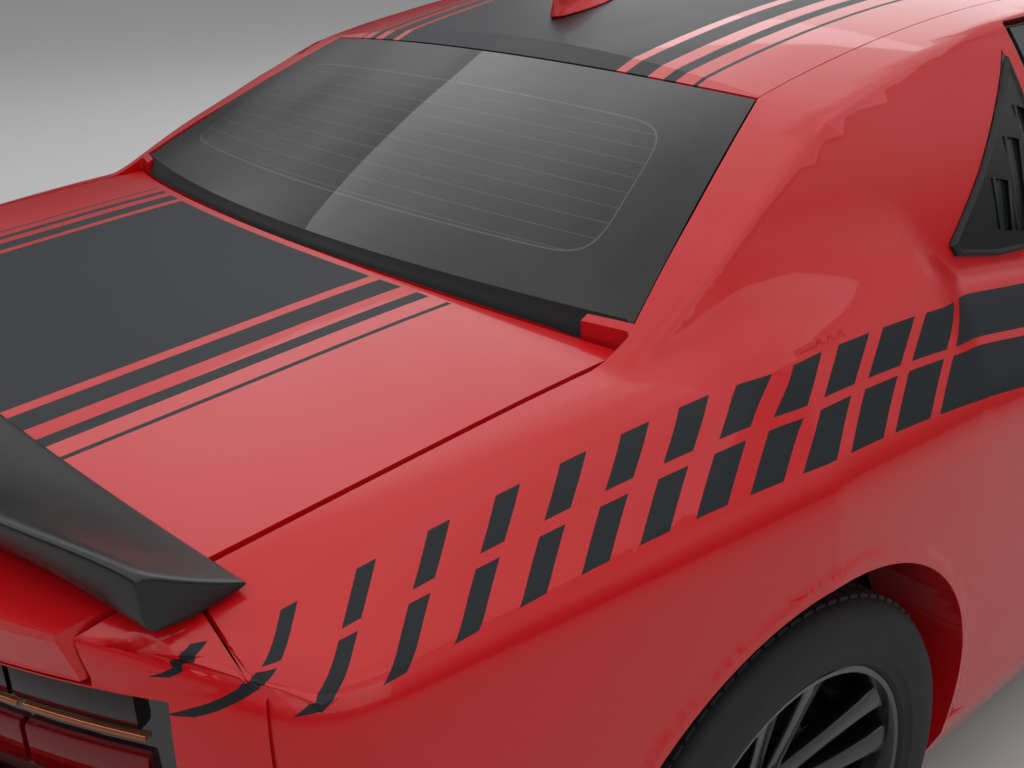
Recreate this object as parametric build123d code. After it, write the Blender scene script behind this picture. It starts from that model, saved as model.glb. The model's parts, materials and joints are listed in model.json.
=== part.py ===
"""Two-door muscle coupe at full size, in millimetres.

+X is forward, +Y is the car's left and +Z is up. The origin is on the road, under the middle of the car's length.
"""
from build123d import *

import math
import os

# Overall sizes
LENGTH = 5022.0
WIDTH = 1923.0
ROOF_HEIGHT = 1450.0
WHEELBASE = 2951.0
FRONT_OVERHANG = 930.0
TRACK = 1615.0

NOSE_X = LENGTH / 2
TAIL_X = -LENGTH / 2
FRONT_AXLE_X = NOSE_X - FRONT_OVERHANG
REAR_AXLE_X = FRONT_AXLE_X - WHEELBASE
FAR = 4000.0

# Tyres and wheels
TYRE_RADIUS = 364.0
TYRE_WIDTH = 250.0
RIM_RADIUS = 262.0
RIM_WALL = 12.0
RIM_WIDTH = 222.0
HUB_RADIUS = 74.0
SPOKES = 5
DISC_RADIUS = 178.0
DISC_THICKNESS = 30.0
ARCH_RADIUS = 428.0
WHEEL_Y = TRACK / 2

# Wall thicknesses and gaps
PANEL = 26.0
ROOF_THICKNESS = 34.0
PILLAR_DEPTH = 60.0
GLASS = 6.0
SHUT_GAP = 6.5
HOOD_GAP = 8.0
GLASS_GAP = 13.0
DOOR_FRONT_GAP = 8.5
SEAL_GAP = 3.0
INNER_INSET = 9.0

# Crown of the top surfaces: they turn about axes this far under the road
DECK_CROWN_Z = -5000.0
ROOF_CROWN_Z = -2300.0
NOSE_PLAN_RADIUS = 2300.0
TAIL_PLAN_RADIUS = 1500.0
SIDE_PLAN_RADIUS = 12000.0

# Centre line of the hood, the ledge beside the cabin and the deck: corner places, heights and rounding lengths
TOP_LINE = (
    (NOSE_X + 150, 868, 0),
    (FRONT_AXLE_X + 620, 945, 400),
    (FRONT_AXLE_X - 530, 1050, 500),
    (REAR_AXLE_X + 920, 1074, 300),
    (REAR_AXLE_X + 70, 1146, 450),
    (TAIL_X - 150, 1015, 0),
)

# Body side: place, half width at the sill, at the waist, at the crease, crease height, half width at the shoulder
HALF_WIDTH = WIDTH / 2
SIDE_SECTIONS = (
    (TAIL_X - 120, HALF_WIDTH - 181, HALF_WIDTH - 160, HALF_WIDTH - 155, 940, HALF_WIDTH - 246),
    (REAR_AXLE_X - 730, HALF_WIDTH - 81, HALF_WIDTH - 58, HALF_WIDTH - 53, 948, HALF_WIDTH - 190),
    (REAR_AXLE_X, HALF_WIDTH - 46, HALF_WIDTH - 19, HALF_WIDTH - 13, 932, HALF_WIDTH - 155),
    (REAR_AXLE_X + 470, HALF_WIDTH - 56, HALF_WIDTH - 29, HALF_WIDTH - 23, 900, HALF_WIDTH - 153),
    (0, HALF_WIDTH - 63, HALF_WIDTH - 39, HALF_WIDTH - 36, 880, HALF_WIDTH - 149),
    (FRONT_AXLE_X - 780, HALF_WIDTH - 61, HALF_WIDTH - 37, HALF_WIDTH - 40, 862, HALF_WIDTH - 145),
    (FRONT_AXLE_X, HALF_WIDTH - 51, HALF_WIDTH - 21, HALF_WIDTH - 36, 850, HALF_WIDTH - 149),
    (FRONT_AXLE_X + 570, HALF_WIDTH - 85, HALF_WIDTH - 61, HALF_WIDTH - 81, 805, HALF_WIDTH - 185),
    (NOSE_X + 120, HALF_WIDTH - 145, HALF_WIDTH - 121, HALF_WIDTH - 141, 765, HALF_WIDTH - 243),
)
ROCKER_Z = 190.0
ROCKER_INSET = 45.0
SILL_Z = 300.0
WAIST_Z = 600.0
BAND_BULGE = 5.0
BLEND_DEPTH = 2.5

# Nose and tail outlines in side view, from the chin up: place, height
NOSE_LINE = ((-150, 100), (-70, 175), (-18, 300), (0, 520), (-14, 640), (-42, 800), (-62, 900), (-80, 1050))
TAIL_LINE = ((170, 150), (60, 260), (0, 480), (0, 640), (50, 725), (88, 790), (92, 960), (80, 1005), (95, 1250))

# Greenhouse in side view
SCREEN_BASE = (FRONT_AXLE_X - 555, 995)
SCREEN_TOP = (300, 1392)
ROOF_PEAK = (-330, ROOF_HEIGHT)
BACKLIGHT_TOP = (-1085, 1366)
BACKLIGHT_BASE = (-1700, 1068)
GLASS_BULGE = 12.0

# Greenhouse side in end view: half width, height, from the belt to the roof
TUMBLEHOME = ((818, 940), (738, 1215), (600, 1428))
SIDE_MID_X = -500.0

# Shut lines
HOOD_FRONT_X = NOSE_X - 95
HOOD_REAR_X = FRONT_AXLE_X - 560
HOOD_HALF_FRONT = 610.0
HOOD_HALF_REAR = 715.0
DOOR_FRONT_X = FRONT_AXLE_X - 760
DOOR_REAR_X = REAR_AXLE_X + 830
DOOR_BOTTOM_Z = 262.0
LID_FRONT_X = REAR_AXLE_X - 194
LID_BOW = 53.0
LID_HALF = 703.0
LID_FLARE = 22.0
GLASS_LOW_HALF = 704.0
GLASS_HIGH_HALF = 560.0
GLASS_LOW_BOW = 109.0
GLASS_HIGH_BOW = 45.0
SCREEN_LOW_HALF = 672.0
SCREEN_HIGH_HALF = 548.0
LID_LIP_Z = 956.0
FRONT_SEAM_X = FRONT_AXLE_X + 500
REAR_SEAM_X = REAR_AXLE_X - 745
BELT_Z = 1042.0
FLOOR_Z = 215.0
FLOOR_THICKNESS = 40.0
FIREWALL_X = FRONT_AXLE_X - 640
SEAT_BACK_WALL_X = REAR_AXLE_X + 60
CABIN_HALF = 765.0

parts = {}


def top_height(x):
    """Height of the hood and deck centre line at x, read straight between the corners of TOP_LINE."""
    for (x1, z1, _), (x2, z2, _) in zip(TOP_LINE, TOP_LINE[1:]):
        if x2 <= x <= x1:
            return z1 + (z2 - z1) * (x - x1) / (x2 - x1)
    return TOP_LINE[0][1] if x > TOP_LINE[0][0] else TOP_LINE[-1][1]


def crown_height(x, y):
    """Height of the crowned hood and deck surface at x, y."""
    radius = top_height(x) - DECK_CROWN_Z
    return math.sqrt(radius ** 2 - y ** 2) + DECK_CROWN_Z


def side_face(points):
    """A closed face in side view from (place, height) points."""
    return make_face(Polyline(*[(x, 0, z) for x, z in points], close=True))


def crowned(face, crown_z, reach=1150.0):
    """Turns a side-view face about a lengthwise axis far below, so that its surfaces are crowned across the car."""
    axis = Axis((0, 0, crown_z), (1, 0, 0))
    half = math.degrees(math.asin(reach / (900 - crown_z)))
    return revolve(face.rotate(axis, -half), axis, 2 * half)


def bowed(face, axis_x, radius, reach=950.0):
    """Turns a side-view face about an upright axis on the centre line, so that its surfaces bow in plan."""
    axis = Axis((axis_x, 0, 0), (0, 0, 1))
    half = math.degrees(math.asin(reach / radius))
    return revolve(face.rotate(axis, -half), axis, 2 * half)


def bowed_panel(points, axis_x, reach):
    """A curved panel with the given side-view section, bowed in plan and ending at y = -reach and y = reach."""
    axis = Axis((axis_x, 0, 0), (0, 0, 1))
    half = math.degrees(math.asin(reach / min(abs(x - axis_x) for x, z in points)))
    return revolve(side_face(points).rotate(axis, -half), axis, 2 * half)


def bowed_slot(x1, x2, low, high, axis_x, reach):
    """A cutter for a slot between two heights that follows the bow of the nose or tail."""
    return bowed_panel([(x1, low), (x1, high), (x2, high), (x2, low)], axis_x, reach)


def plan_prism(points, low, high):
    """A prism from (place, side) points in plan."""
    face = make_face(Polyline(*[(x, y, low) for x, y in points], close=True))
    return extrude(face, high - low, dir=(0, 0, 1))


def side_prism(points, near, far):
    """A prism across the car from (place, height) points in side view, from y = near to y = far."""
    face = make_face(Polyline(*[(x, near, z) for x, z in points], close=True))
    return extrude(face, far - near, dir=(0, 1, 0))


def block(x1, x2, y1, y2, z1, z2):
    """An upright box between two corners."""
    centre = ((x1 + x2) / 2, (y1 + y2) / 2, (z1 + z2) / 2)
    return Pos(*centre) * Box(abs(x2 - x1), abs(y2 - y1), abs(z2 - z1))


def drum(x, z, radius, y1, y2):
    """A cylinder across the car."""
    return Pos(x, (y1 + y2) / 2, z) * Rot(90, 0, 0) * Cylinder(radius, abs(y2 - y1))


def mirrored(shape):
    """The same shape on the car's other side."""
    return mirror(shape, about=Plane.XZ)


def side_section(row, inset, top_drop):
    """One cross-section of the body sides, closed across the car."""
    x, sill, waist, crease, crease_z, shoulder = row
    shoulder_z = crown_height(x, shoulder)
    rise = 120.0
    lean = (crease - shoulder) / (shoulder_z - crease_z)
    top_y = shoulder - lean * rise
    left = [
        (sill - ROCKER_INSET - inset, ROCKER_Z),
        (sill - inset, SILL_Z),
        (waist - inset, WAIST_Z),
        (crease - inset, crease_z - top_drop),
        ((crease + top_y) / 2 + BAND_BULGE - inset, (crease_z + shoulder_z + rise) / 2 - top_drop),
        (top_y - inset, shoulder_z + rise - top_drop),
    ]
    p = [(x, y, z) for y, z in left]
    q = [(x, -y, z) for y, z in left]
    edges = [
        Edge.make_line(q[0], p[0]),
        Edge.make_line(p[0], p[1]),
        Edge.make_three_point_arc(p[1], p[2], p[3]),
        Edge.make_three_point_arc(p[3], p[4], p[5]),
        Edge.make_line(p[5], q[5]),
        Edge.make_three_point_arc(q[5], q[4], q[3]),
        Edge.make_three_point_arc(q[3], q[2], q[1]),
        Edge.make_line(q[1], q[0]),
    ]
    return Wire(edges)


def body_sides(inset=0.0, top_drop=0.0):
    """The body's sides from nose to tail, taller than the hood and deck."""
    return Solid.make_loft([side_section(row, inset, top_drop) for row in SIDE_SECTIONS])


def rounded_line(rows, drop=0.0):
    """Edges of a side-view line through (place, height, rounding length) corners, each corner rounded by an arc."""
    edges = []
    start = Vector(rows[0][0], 0, rows[0][1] - drop)
    for row, after in zip(rows[1:-1], rows[2:]):
        corner = Vector(row[0], 0, row[1] - drop)
        d1 = (corner - start).normalized()
        d2 = (Vector(after[0], 0, after[1] - drop) - corner).normalized()
        a, b = corner - d1 * row[2], corner + d2 * row[2]
        edges.append(Edge.make_line(start, a))
        edges.append(Edge.make_tangent_arc(a, d1, b))
        start = b
    edges.append(Edge.make_line(start, Vector(rows[-1][0], 0, rows[-1][1] - drop)))
    return edges


def lower_top(drop=0.0):
    """Everything under the hood and deck line, crowned across."""
    line = rounded_line(TOP_LINE, drop)
    x1, z1, _ = TOP_LINE[0]
    x2, z2, _ = TOP_LINE[-1]
    rest = Polyline((x2, 0, z2 - drop), (x2, 0, 0), (x1, 0, 0), (x1, 0, z1 - drop))
    return crowned(make_face(Wire([*line, *rest.edges()])), DECK_CROWN_Z)


def ahead_of_nose(inset=0.0):
    """What lies in front of the nose surface."""
    points = [(NOSE_X + dx - inset, z) for dx, z in NOSE_LINE]
    face = side_face([*points, (NOSE_X + 600, 1050), (NOSE_X + 600, 100)])
    return bowed(face, NOSE_X - NOSE_PLAN_RADIUS, NOSE_PLAN_RADIUS - 250)


def behind_tail(inset=0.0):
    """What lies behind the tail surface."""
    points = [(TAIL_X + dx + inset, z) for dx, z in TAIL_LINE]
    face = side_face([*points, (TAIL_X - 600, 1250), (TAIL_X - 600, 150)])
    return bowed(face, TAIL_X + TAIL_PLAN_RADIUS, TAIL_PLAN_RADIUS - 230)


def lower_body(inset=0.0, drop=0.0):
    """The body below the windows, as one solid."""
    return body_sides(inset) & lower_top(drop) - ahead_of_nose(inset) - behind_tail(inset)


def tail_x(y, inset):
    """Place of the tail surface at a distance y from the centre line, inset by a given amount."""
    radius = TAIL_PLAN_RADIUS - inset
    return TAIL_X + TAIL_PLAN_RADIUS - math.sqrt(radius ** 2 - y ** 2)


def inset_arc(points, inset):
    """Three points on the arc through three points, moved towards the arc's centre."""
    (x1, y1), (x2, y2), (x3, y3) = points
    d = 2 * (x1 * (y2 - y3) + x2 * (y3 - y1) + x3 * (y1 - y2))
    s1, s2, s3 = x1 ** 2 + y1 ** 2, x2 ** 2 + y2 ** 2, x3 ** 2 + y3 ** 2
    cx = (s1 * (y2 - y3) + s2 * (y3 - y1) + s3 * (y1 - y2)) / d
    cy = (s1 * (x3 - x2) + s2 * (x1 - x3) + s3 * (x2 - x1)) / d
    radius = math.hypot(x1 - cx, y1 - cy)
    scale = (radius - inset) / radius
    return [(cx + (x - cx) * scale, cy + (y - cy) * scale) for x, y in points]


def bulged(p, q, bulge):
    """Three points of a shallow arc from p to q, standing out above the straight line by bulge."""
    mx, mz = (p[0] + q[0]) / 2, (p[1] + q[1]) / 2
    dx, dz = q[0] - p[0], q[1] - p[1]
    length = math.hypot(dx, dz)
    nx, nz = dz / length, -dx / length
    if nz < 0:
        nx, nz = -nx, -nz
    return [p, (mx + nx * bulge, mz + nz * bulge), q]


def grown(face, amount):
    """The same flat outline moved outwards by amount."""
    return make_face(face.face().outer_wire().offset_2d(amount))


def greenhouse_top(inset=0.0):
    """Everything under the windscreen, roof and rear window, crowned across."""
    drop = 1.15 * inset
    screen = bulged(SCREEN_BASE, SCREEN_TOP, GLASS_BULGE)
    roof = [SCREEN_TOP, ROOF_PEAK, BACKLIGHT_TOP]
    backlight = bulged(BACKLIGHT_TOP, BACKLIGHT_BASE, GLASS_BULGE)
    edges = []
    for arc in (screen, roof, backlight):
        edges.append(Edge.make_three_point_arc(*[(x, 0, z - drop) for x, z in arc]))
    base = Polyline(
        (BACKLIGHT_BASE[0], 0, BACKLIGHT_BASE[1] - drop),
        (BACKLIGHT_BASE[0], 0, 700),
        (SCREEN_BASE[0], 0, 700),
        (SCREEN_BASE[0], 0, SCREEN_BASE[1] - drop),
    )
    return crowned(make_face(Wire([*edges, *base.edges()])), ROOF_CROWN_Z)


def greenhouse_side(inset=0.0):
    """Everything inboard of the left side glass, bowed in plan."""
    a, b, c = inset_arc(TUMBLEHOME, inset)
    arc = Edge.make_three_point_arc(*[(SIDE_MID_X, y, z) for y, z in (a, b, c)])
    rest = Polyline(
        (SIDE_MID_X, c[0], c[1]), (SIDE_MID_X, c[0] - 60, 1600), (SIDE_MID_X, -1100, 1600),
        (SIDE_MID_X, -1100, 600), (SIDE_MID_X, a[0], 600), (SIDE_MID_X, a[0], a[1]),
    )
    axis = Axis((SIDE_MID_X, TUMBLEHOME[0][0] - SIDE_PLAN_RADIUS, 0), (0, 0, 1))
    half = 14.0
    face = make_face(Wire([arc, *rest.edges()]))
    return revolve(face.rotate(axis, -half), axis, 2 * half)


def cabin_half(x, z):
    """Half width of the greenhouse side at a place and height."""
    (y1, z1), (y2, z2), (y3, z3) = TUMBLEHOME
    d = 2 * (y1 * (z2 - z3) + y2 * (z3 - z1) + y3 * (z1 - z2))
    s1, s2, s3 = y1 ** 2 + z1 ** 2, y2 ** 2 + z2 ** 2, y3 ** 2 + z3 ** 2
    cy = (s1 * (z2 - z3) + s2 * (z3 - z1) + s3 * (z1 - z2)) / d
    cz = (s1 * (y3 - y2) + s2 * (y1 - y3) + s3 * (y2 - y1)) / d
    middle = cy + math.sqrt((y1 - cy) ** 2 + (z1 - cz) ** 2 - (z - cz) ** 2)
    axis_y = TUMBLEHOME[0][0] - SIDE_PLAN_RADIUS
    return axis_y + math.sqrt((middle - axis_y) ** 2 - (x - SIDE_MID_X) ** 2)


def blend_section(x, width, rise):
    """One cross-section of the hollow that carries the rear pillar into the shoulder: a concave arc over a buried corner."""
    z = crown_height(x, CABIN_HALF)
    for _ in range(4):
        y = cabin_half(x, z)
        z = crown_height(x, y)
    high = z + rise
    top = (x, cabin_half(x, high) - BLEND_DEPTH, high)
    low = (x, y + width, crown_height(x, y + width) - BLEND_DEPTH)
    middle = (x, 0.3 * top[1] + 0.3 * low[1] + 0.4 * y, 0.3 * top[2] + 0.3 * low[2] + 0.4 * z)
    under = z - 18 - BLEND_DEPTH
    return Wire([
        Edge.make_three_point_arc(top, middle, low),
        Edge.make_line(low, (x, low[1] - 8, under)),
        Edge.make_line((x, low[1] - 8, under), (x, top[1] - 22, under)),
        Edge.make_line((x, top[1] - 22, under), top),
    ])


def greenhouse(inset=0.0, side_inset=None):
    """The cabin above the belt, as one solid."""
    side = greenhouse_side(inset if side_inset is None else side_inset)
    return greenhouse_top(inset) & side & mirrored(side)


def raise_plan(face, low, high):
    """A prism from low to high over an outline drawn in plan."""
    return Pos(0, 0, low) * extrude(face, high - low, dir=(0, 0, 1))


def across(face, near, far):
    """A prism from y = near to y = far over an outline drawn in side view."""
    return Pos(0, near, 0) * extrude(face, far - near, dir=(0, 1, 0))


def hood_outline():
    """The hood in plan."""
    front, rear = HOOD_FRONT_X, HOOD_REAR_X
    edges = [
        Edge.make_three_point_arc((front - 85, HOOD_HALF_FRONT, 0), (front, 0, 0), (front - 85, -HOOD_HALF_FRONT, 0)),
        Edge.make_line((front - 85, -HOOD_HALF_FRONT, 0), (rear - 60, -HOOD_HALF_REAR, 0)),
        Edge.make_three_point_arc((rear - 60, -HOOD_HALF_REAR, 0), (rear, 0, 0), (rear - 60, HOOD_HALF_REAR, 0)),
        Edge.make_line((rear - 60, HOOD_HALF_REAR, 0), (front - 85, HOOD_HALF_FRONT, 0)),
    ]
    return make_face(Wire(edges))


def lid_outline():
    """The trunk lid in plan."""
    front, half, bow, wide = LID_FRONT_X, LID_HALF, LID_BOW, LID_HALF + LID_FLARE
    far = TAIL_X - 100
    edges = [
        Edge.make_line((far, wide, 0), (front + bow, half, 0)),
        Edge.make_three_point_arc((front + bow, half, 0), (front - bow, 0, 0), (front + bow, -half, 0)),
        Edge.make_line((front + bow, -half, 0), (far, -wide, 0)),
        Edge.make_line((far, -wide, 0), (far, wide, 0)),
    ]
    return make_face(Wire(edges))


def door_outline():
    """The door below the belt in side view."""
    f, r = DOOR_FRONT_X, DOOR_REAR_X
    points = [
        (f - 14, 1200), (f + 4, 800), (f - 4, DOOR_BOTTOM_Z), (r + 62, DOOR_BOTTOM_Z), (r + 12, 520), (r - 8, 800),
        (r - 14, 1200),
    ]
    return side_face(points)


def screen_outline():
    """The windscreen in plan."""
    x1, x2 = SCREEN_BASE[0] - 72, SCREEN_TOP[0] + 2
    low, high = SCREEN_LOW_HALF, SCREEN_HIGH_HALF
    edges = [
        Edge.make_three_point_arc((x1 - 75, low, 0), (x1, 0, 0), (x1 - 75, -low, 0)),
        Edge.make_line((x1 - 75, -low, 0), (x2 - 32, -high, 0)),
        Edge.make_three_point_arc((x2 - 32, -high, 0), (x2, 0, 0), (x2 - 32, high, 0)),
        Edge.make_line((x2 - 32, high, 0), (x1 - 75, low, 0)),
    ]
    return make_face(Wire(edges))


def rear_window_outline():
    """The rear window in plan: its lower edge bows over the lid's front edge, and its upper edge over the roof."""
    x1 = LID_FRONT_X + LID_BOW + 21
    x2 = BACKLIGHT_TOP[0] - 7
    low, high = GLASS_LOW_HALF, GLASS_HIGH_HALF
    edges = [
        Edge.make_three_point_arc((x1, low, 0), (x1 - GLASS_LOW_BOW, 0, 0), (x1, -low, 0)),
        Edge.make_line((x1, -low, 0), (x2, -high, 0)),
        Edge.make_three_point_arc((x2, -high, 0), (x2 - GLASS_HIGH_BOW, 0, 0), (x2, high, 0)),
        Edge.make_line((x2, high, 0), (x1, low, 0)),
    ]
    return make_face(Wire(edges))


def roof_outline():
    """The roof panel in plan, between the windscreen, the rear window and the two side seams."""
    x1, x2 = SCREEN_TOP[0] + 2, BACKLIGHT_TOP[0] - 7
    front, rear = SCREEN_HIGH_HALF, GLASS_HIGH_HALF
    edges = [
        Edge.make_three_point_arc((x1 - 32, front, 0), (x1, 0, 0), (x1 - 32, -front, 0)),
        Edge.make_line((x1 - 32, -front, 0), (x2, -rear, 0)),
        Edge.make_three_point_arc((x2, -rear, 0), (x2 - GLASS_HIGH_BOW, 0, 0), (x2, rear, 0)),
        Edge.make_line((x2, rear, 0), (x1 - 32, front, 0)),
    ]
    return make_face(Wire(edges))


def side_glass_outline():
    """The frameless door glass in side view."""
    r = DOOR_REAR_X
    points = [(640, BELT_Z - 70), (640, 1085), (480, 1190), (250, 1300), (20, 1362), (-200, 1386), (r - 2, 1377),
              (r + 8, BELT_Z - 70)]
    return side_face(points)


def quarter_window_outline():
    """The fixed window behind the door in side view."""
    r = DOOR_REAR_X - 55
    points = [(r, BELT_Z + 10), (r, 1350), (r - 34, 1318), (r - 180, 1192), (r - 296, 1104), (r - 284, 1086), (r - 180, 1066)]
    return side_face(points)


def wheel_places():
    """Names and places of the four wheels."""
    return [
        ("front_left", FRONT_AXLE_X, 1), ("front_right", FRONT_AXLE_X, -1),
        ("rear_left", REAR_AXLE_X, 1), ("rear_right", REAR_AXLE_X, -1),
    ]


def arch_cut(x, radius, reach=1100.0):
    """The wheel arch openings of one axle."""
    return drum(x, TYRE_RADIUS, radius, -reach, -reach + 560) + drum(x, TYRE_RADIUS, radius, reach - 560, reach)


# The two outer forms and what lies inside them
OUT = lower_body()
INN = lower_body(PANEL, PANEL)
GREEN = greenhouse()
GREEN_IN = greenhouse(ROOF_THICKNESS, PILLAR_DEPTH)
ARCHES = arch_cut(FRONT_AXLE_X, ARCH_RADIUS) + arch_cut(REAR_AXLE_X, ARCH_RADIUS)
SKIN = OUT - INN - ARCHES
LEFT = block(-FAR, FAR, 0, 1500, 0, 2000)

HOOD = hood_outline()
LID = lid_outline()
DOOR = door_outline()
SCREEN = screen_outline()
REAR_WINDOW = rear_window_outline()
ROOF = roof_outline()
SIDE_GLASS = side_glass_outline()
QUARTER_WINDOW = quarter_window_outline()
HOOD_ROOM = raise_plan(grown(HOOD, HOOD_GAP), 830, 1400)
LID_ROOM = raise_plan(grown(LID, HOOD_GAP), LID_LIP_Z - SHUT_GAP, 1400)
DOOR_ROOM = across(grown(DOOR, SHUT_GAP), 600, 1200)
DOOR_SWING = across(grown(DOOR, DOOR_FRONT_GAP), 600, 1200)
CABIN = block(SEAT_BACK_WALL_X + 10, FIREWALL_X, -CABIN_HALF, CABIN_HALF, 100, 1140)
SHELF_HALF = 640.0

# Hood, trunk lid and roof panel
parts["hood"] = (lower_top() - lower_top(22)) & raise_plan(HOOD, 830, 1400)
lid_core = lower_top(24) - behind_tail(PANEL)
parts["trunk_lid"] = (lower_top() & raise_plan(LID, LID_LIP_Z, 1400)) - behind_tail() - lid_core
roof_shell = GREEN - greenhouse(ROOF_THICKNESS - 6, PILLAR_DEPTH)
parts["roof_panel"] = roof_shell & raise_plan(grown(ROOF, -SEAL_GAP / 2), 1100, 1600)

# Fixed glass, set flush with the body
glass_band = GREEN - greenhouse(GLASS)
parts["windscreen"] = glass_band & raise_plan(grown(SCREEN, -SEAL_GAP), 1030, 1600)
parts["rear_window"] = glass_band & raise_plan(grown(REAR_WINDOW, -SEAL_GAP), 1090, 1600)
quarter_glass = glass_band & across(grown(QUARTER_WINDOW, -SEAL_GAP), 400, 1000)
parts["quarter_windows"] = Compound([quarter_glass, mirrored(quarter_glass)])

# Doors with their frameless glass
door_glass = glass_band & across(SIDE_GLASS, 400, 1000)
glass_slot = (across(grown(SIDE_GLASS, 5), 400, 1000) & greenhouse_side(-4)) - greenhouse_side(GLASS + 4)
door_box = OUT & across(grown(DOOR, -INNER_INSET), CABIN_HALF + 6, 890)
door_leaf = ((SKIN & across(DOOR, 862, 1200)) + door_box) - glass_slot
parts["door_left"] = door_leaf
parts["door_right"] = mirrored(door_leaf)
parts["door_glass_left"] = door_glass
parts["door_glass_right"] = mirrored(door_glass)
housing = Pos(DOOR_FRONT_X - 190, 1010, 1090) * Box(90, 190, 125)
housing = fillet(housing.edges(), 24)
stalk = Pos(DOOR_FRONT_X - 190, 903, 1039) * Rot(35, 0, 0) * Box(60, 120, 30)
door_mirror = (housing + stalk) - door_leaf - (greenhouse(-6) & LEFT)
door_mirror = max(door_mirror.solids(), key=lambda s: s.volume)
parts["mirror_left"] = door_mirror
parts["mirror_right"] = mirrored(door_mirror)

# Body sides: quarter panel, rocker, hinge and lock pillars, roof rail
quarter = SKIN & block(REAR_SEAM_X, DOOR_REAR_X - 4, 0, 1200, 0, 1400)
quarter = quarter - LID_ROOM - block(-FAR, FAR, 0, 600, 0, 900) - CABIN
quarter = quarter - block(LID_FRONT_X - 100, SEAT_BACK_WALL_X + 20, 0, SHELF_HALF, 900, 1300)
cabin_wall = OUT & block(SEAT_BACK_WALL_X, DOOR_REAR_X - 60, CABIN_HALF, 1200, 0, 1400)
rocker = OUT & block(
    REAR_AXLE_X + ARCH_RADIUS + 30, FRONT_AXLE_X - ARCH_RADIUS - 30, CABIN_HALF, 1200, 0, DOOR_BOTTOM_Z + 60)
hinge_pillar = Pos(0, -3, -3) * INN & block(DOOR_FRONT_X - 40, FIREWALL_X, CABIN_HALF, 1200, 200, 1400)
lock_pillar = OUT & block(DOOR_REAR_X - 110, DOOR_REAR_X + 70, CABIN_HALF, 1200, 200, 1400)
rail = (GREEN - GREEN_IN) & block(-FAR, FAR, 0, 1200, 1000, 1600)
rail = rail - LID_ROOM - block(LID_FRONT_X - 200, LID_FRONT_X + 80, 0, SHELF_HALF, 1000, 1300)
rail = rail - raise_plan(ROOF, 1000, 1600) - raise_plan(SCREEN, 1000, 1600) - raise_plan(REAR_WINDOW, 1000, 1600)
rail = rail - (across(grown(SIDE_GLASS, GLASS_GAP), 400, 1000) & (greenhouse(-10) - greenhouse(32)))
rail = rail - across(grown(SIDE_GLASS, -14), 400, 1000) - across(QUARTER_WINDOW, 400, 1000)
side = quarter + cabin_wall + rocker + hinge_pillar + lock_pillar + rail - DOOR_ROOM - arch_cut(REAR_AXLE_X, ARCH_RADIUS)
blend_rows = [
    (REAR_AXLE_X - 150, 44, 16), (REAR_AXLE_X - 100, 60, 52), (REAR_AXLE_X, 58, 94), (REAR_AXLE_X + 120, 50, 120),
    (REAR_AXLE_X + 240, 42, 108), (REAR_AXLE_X + 330, 36, 62), (REAR_AXLE_X + 385, 28, 18),
]
blend = Solid.make_loft([blend_section(*row) for row in blend_rows])
side = side + blend
side = max(side.solids(), key=lambda s: s.volume)
parts["body_side_left"] = side
parts["body_side_right"] = mirrored(side)

# The shelf between the trunk lid and the cabin, under the rear window's lower edge
shelf = Pos(0, 0, -1) * SKIN & block(LID_FRONT_X - 90, SEAT_BACK_WALL_X + 24, -SHELF_HALF + 1, SHELF_HALF - 1, 1060, 1300)
parts["rear_shelf"] = max((shelf - LID_ROOM).solids(), key=lambda s: s.volume)

# Front fenders
fender = SKIN & block(DOOR_FRONT_X - 40, FRONT_SEAM_X, 0, 1200, 0, 1400)
fender = fender - HOOD_ROOM - DOOR_SWING - greenhouse(-3) - block(-FAR, FAR, -10, 600, 0, 1400)
fender = fender - block(DOOR_FRONT_X - 60, FRONT_AXLE_X - ARCH_RADIUS + 60, 0, 1200, 0, DOOR_BOTTOM_Z + 64)
fender = fender - block(DOOR_FRONT_X - 60, HOOD_REAR_X + 20, 0, HOOD_HALF_REAR + SEAL_GAP, 800, 1400)
fender = max(fender.solids(), key=lambda s: s.volume)
parts["fender_left"] = fender
parts["fender_right"] = mirrored(fender)
cowl_edge = block(SCREEN_BASE[0] - 150, HOOD_REAR_X + 20, -HOOD_HALF_REAR, HOOD_HALF_REAR, 900, 1200)
cowl = (Pos(0, 0, -10) * SKIN & cowl_edge) - HOOD_ROOM - greenhouse(-4)
parts["cowl"] = max(cowl.solids(), key=lambda s: s.volume)

# Front end: fascia with a wide grille slot and a lower intake, grille panels and round lamps
GRILLE_LOW, GRILLE_HIGH = 622.0, 786.0
GRILLE_HALF = 790.0
INTAKE_LOW, INTAKE_HIGH = 262.0, 430.0
INTAKE_HALF = 560.0
grille_slot = bowed_slot(NOSE_X + 100, NOSE_X - 150, GRILLE_LOW, GRILLE_HIGH, NOSE_X - NOSE_PLAN_RADIUS, GRILLE_HALF)
intake_slot = bowed_slot(NOSE_X + 100, NOSE_X - 150, INTAKE_LOW, INTAKE_HIGH, NOSE_X - NOSE_PLAN_RADIUS, INTAKE_HALF)
fascia = (SKIN & block(FRONT_SEAM_X + 4, NOSE_X + 200, -1200, 1200, 0, 1400)) - HOOD_ROOM
fascia = fascia - grille_slot - intake_slot
parts["front_fascia"] = fascia
recess = ahead_of_nose(78) - ahead_of_nose(62)
grille = recess & block(NOSE_X - 420, NOSE_X, -GRILLE_HALF - 12, GRILLE_HALF + 12, GRILLE_LOW - 20, GRILLE_HIGH + 20)
intake = recess & block(NOSE_X - 420, NOSE_X, -INTAKE_HALF - 12, INTAKE_HALF + 12, INTAKE_LOW - 20, INTAKE_HIGH + 20)
parts["grille"] = Compound([grille.solids()[0], intake.solids()[0]])
lamp_height = (GRILLE_LOW + GRILLE_HIGH) / 2
lamps = []
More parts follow.
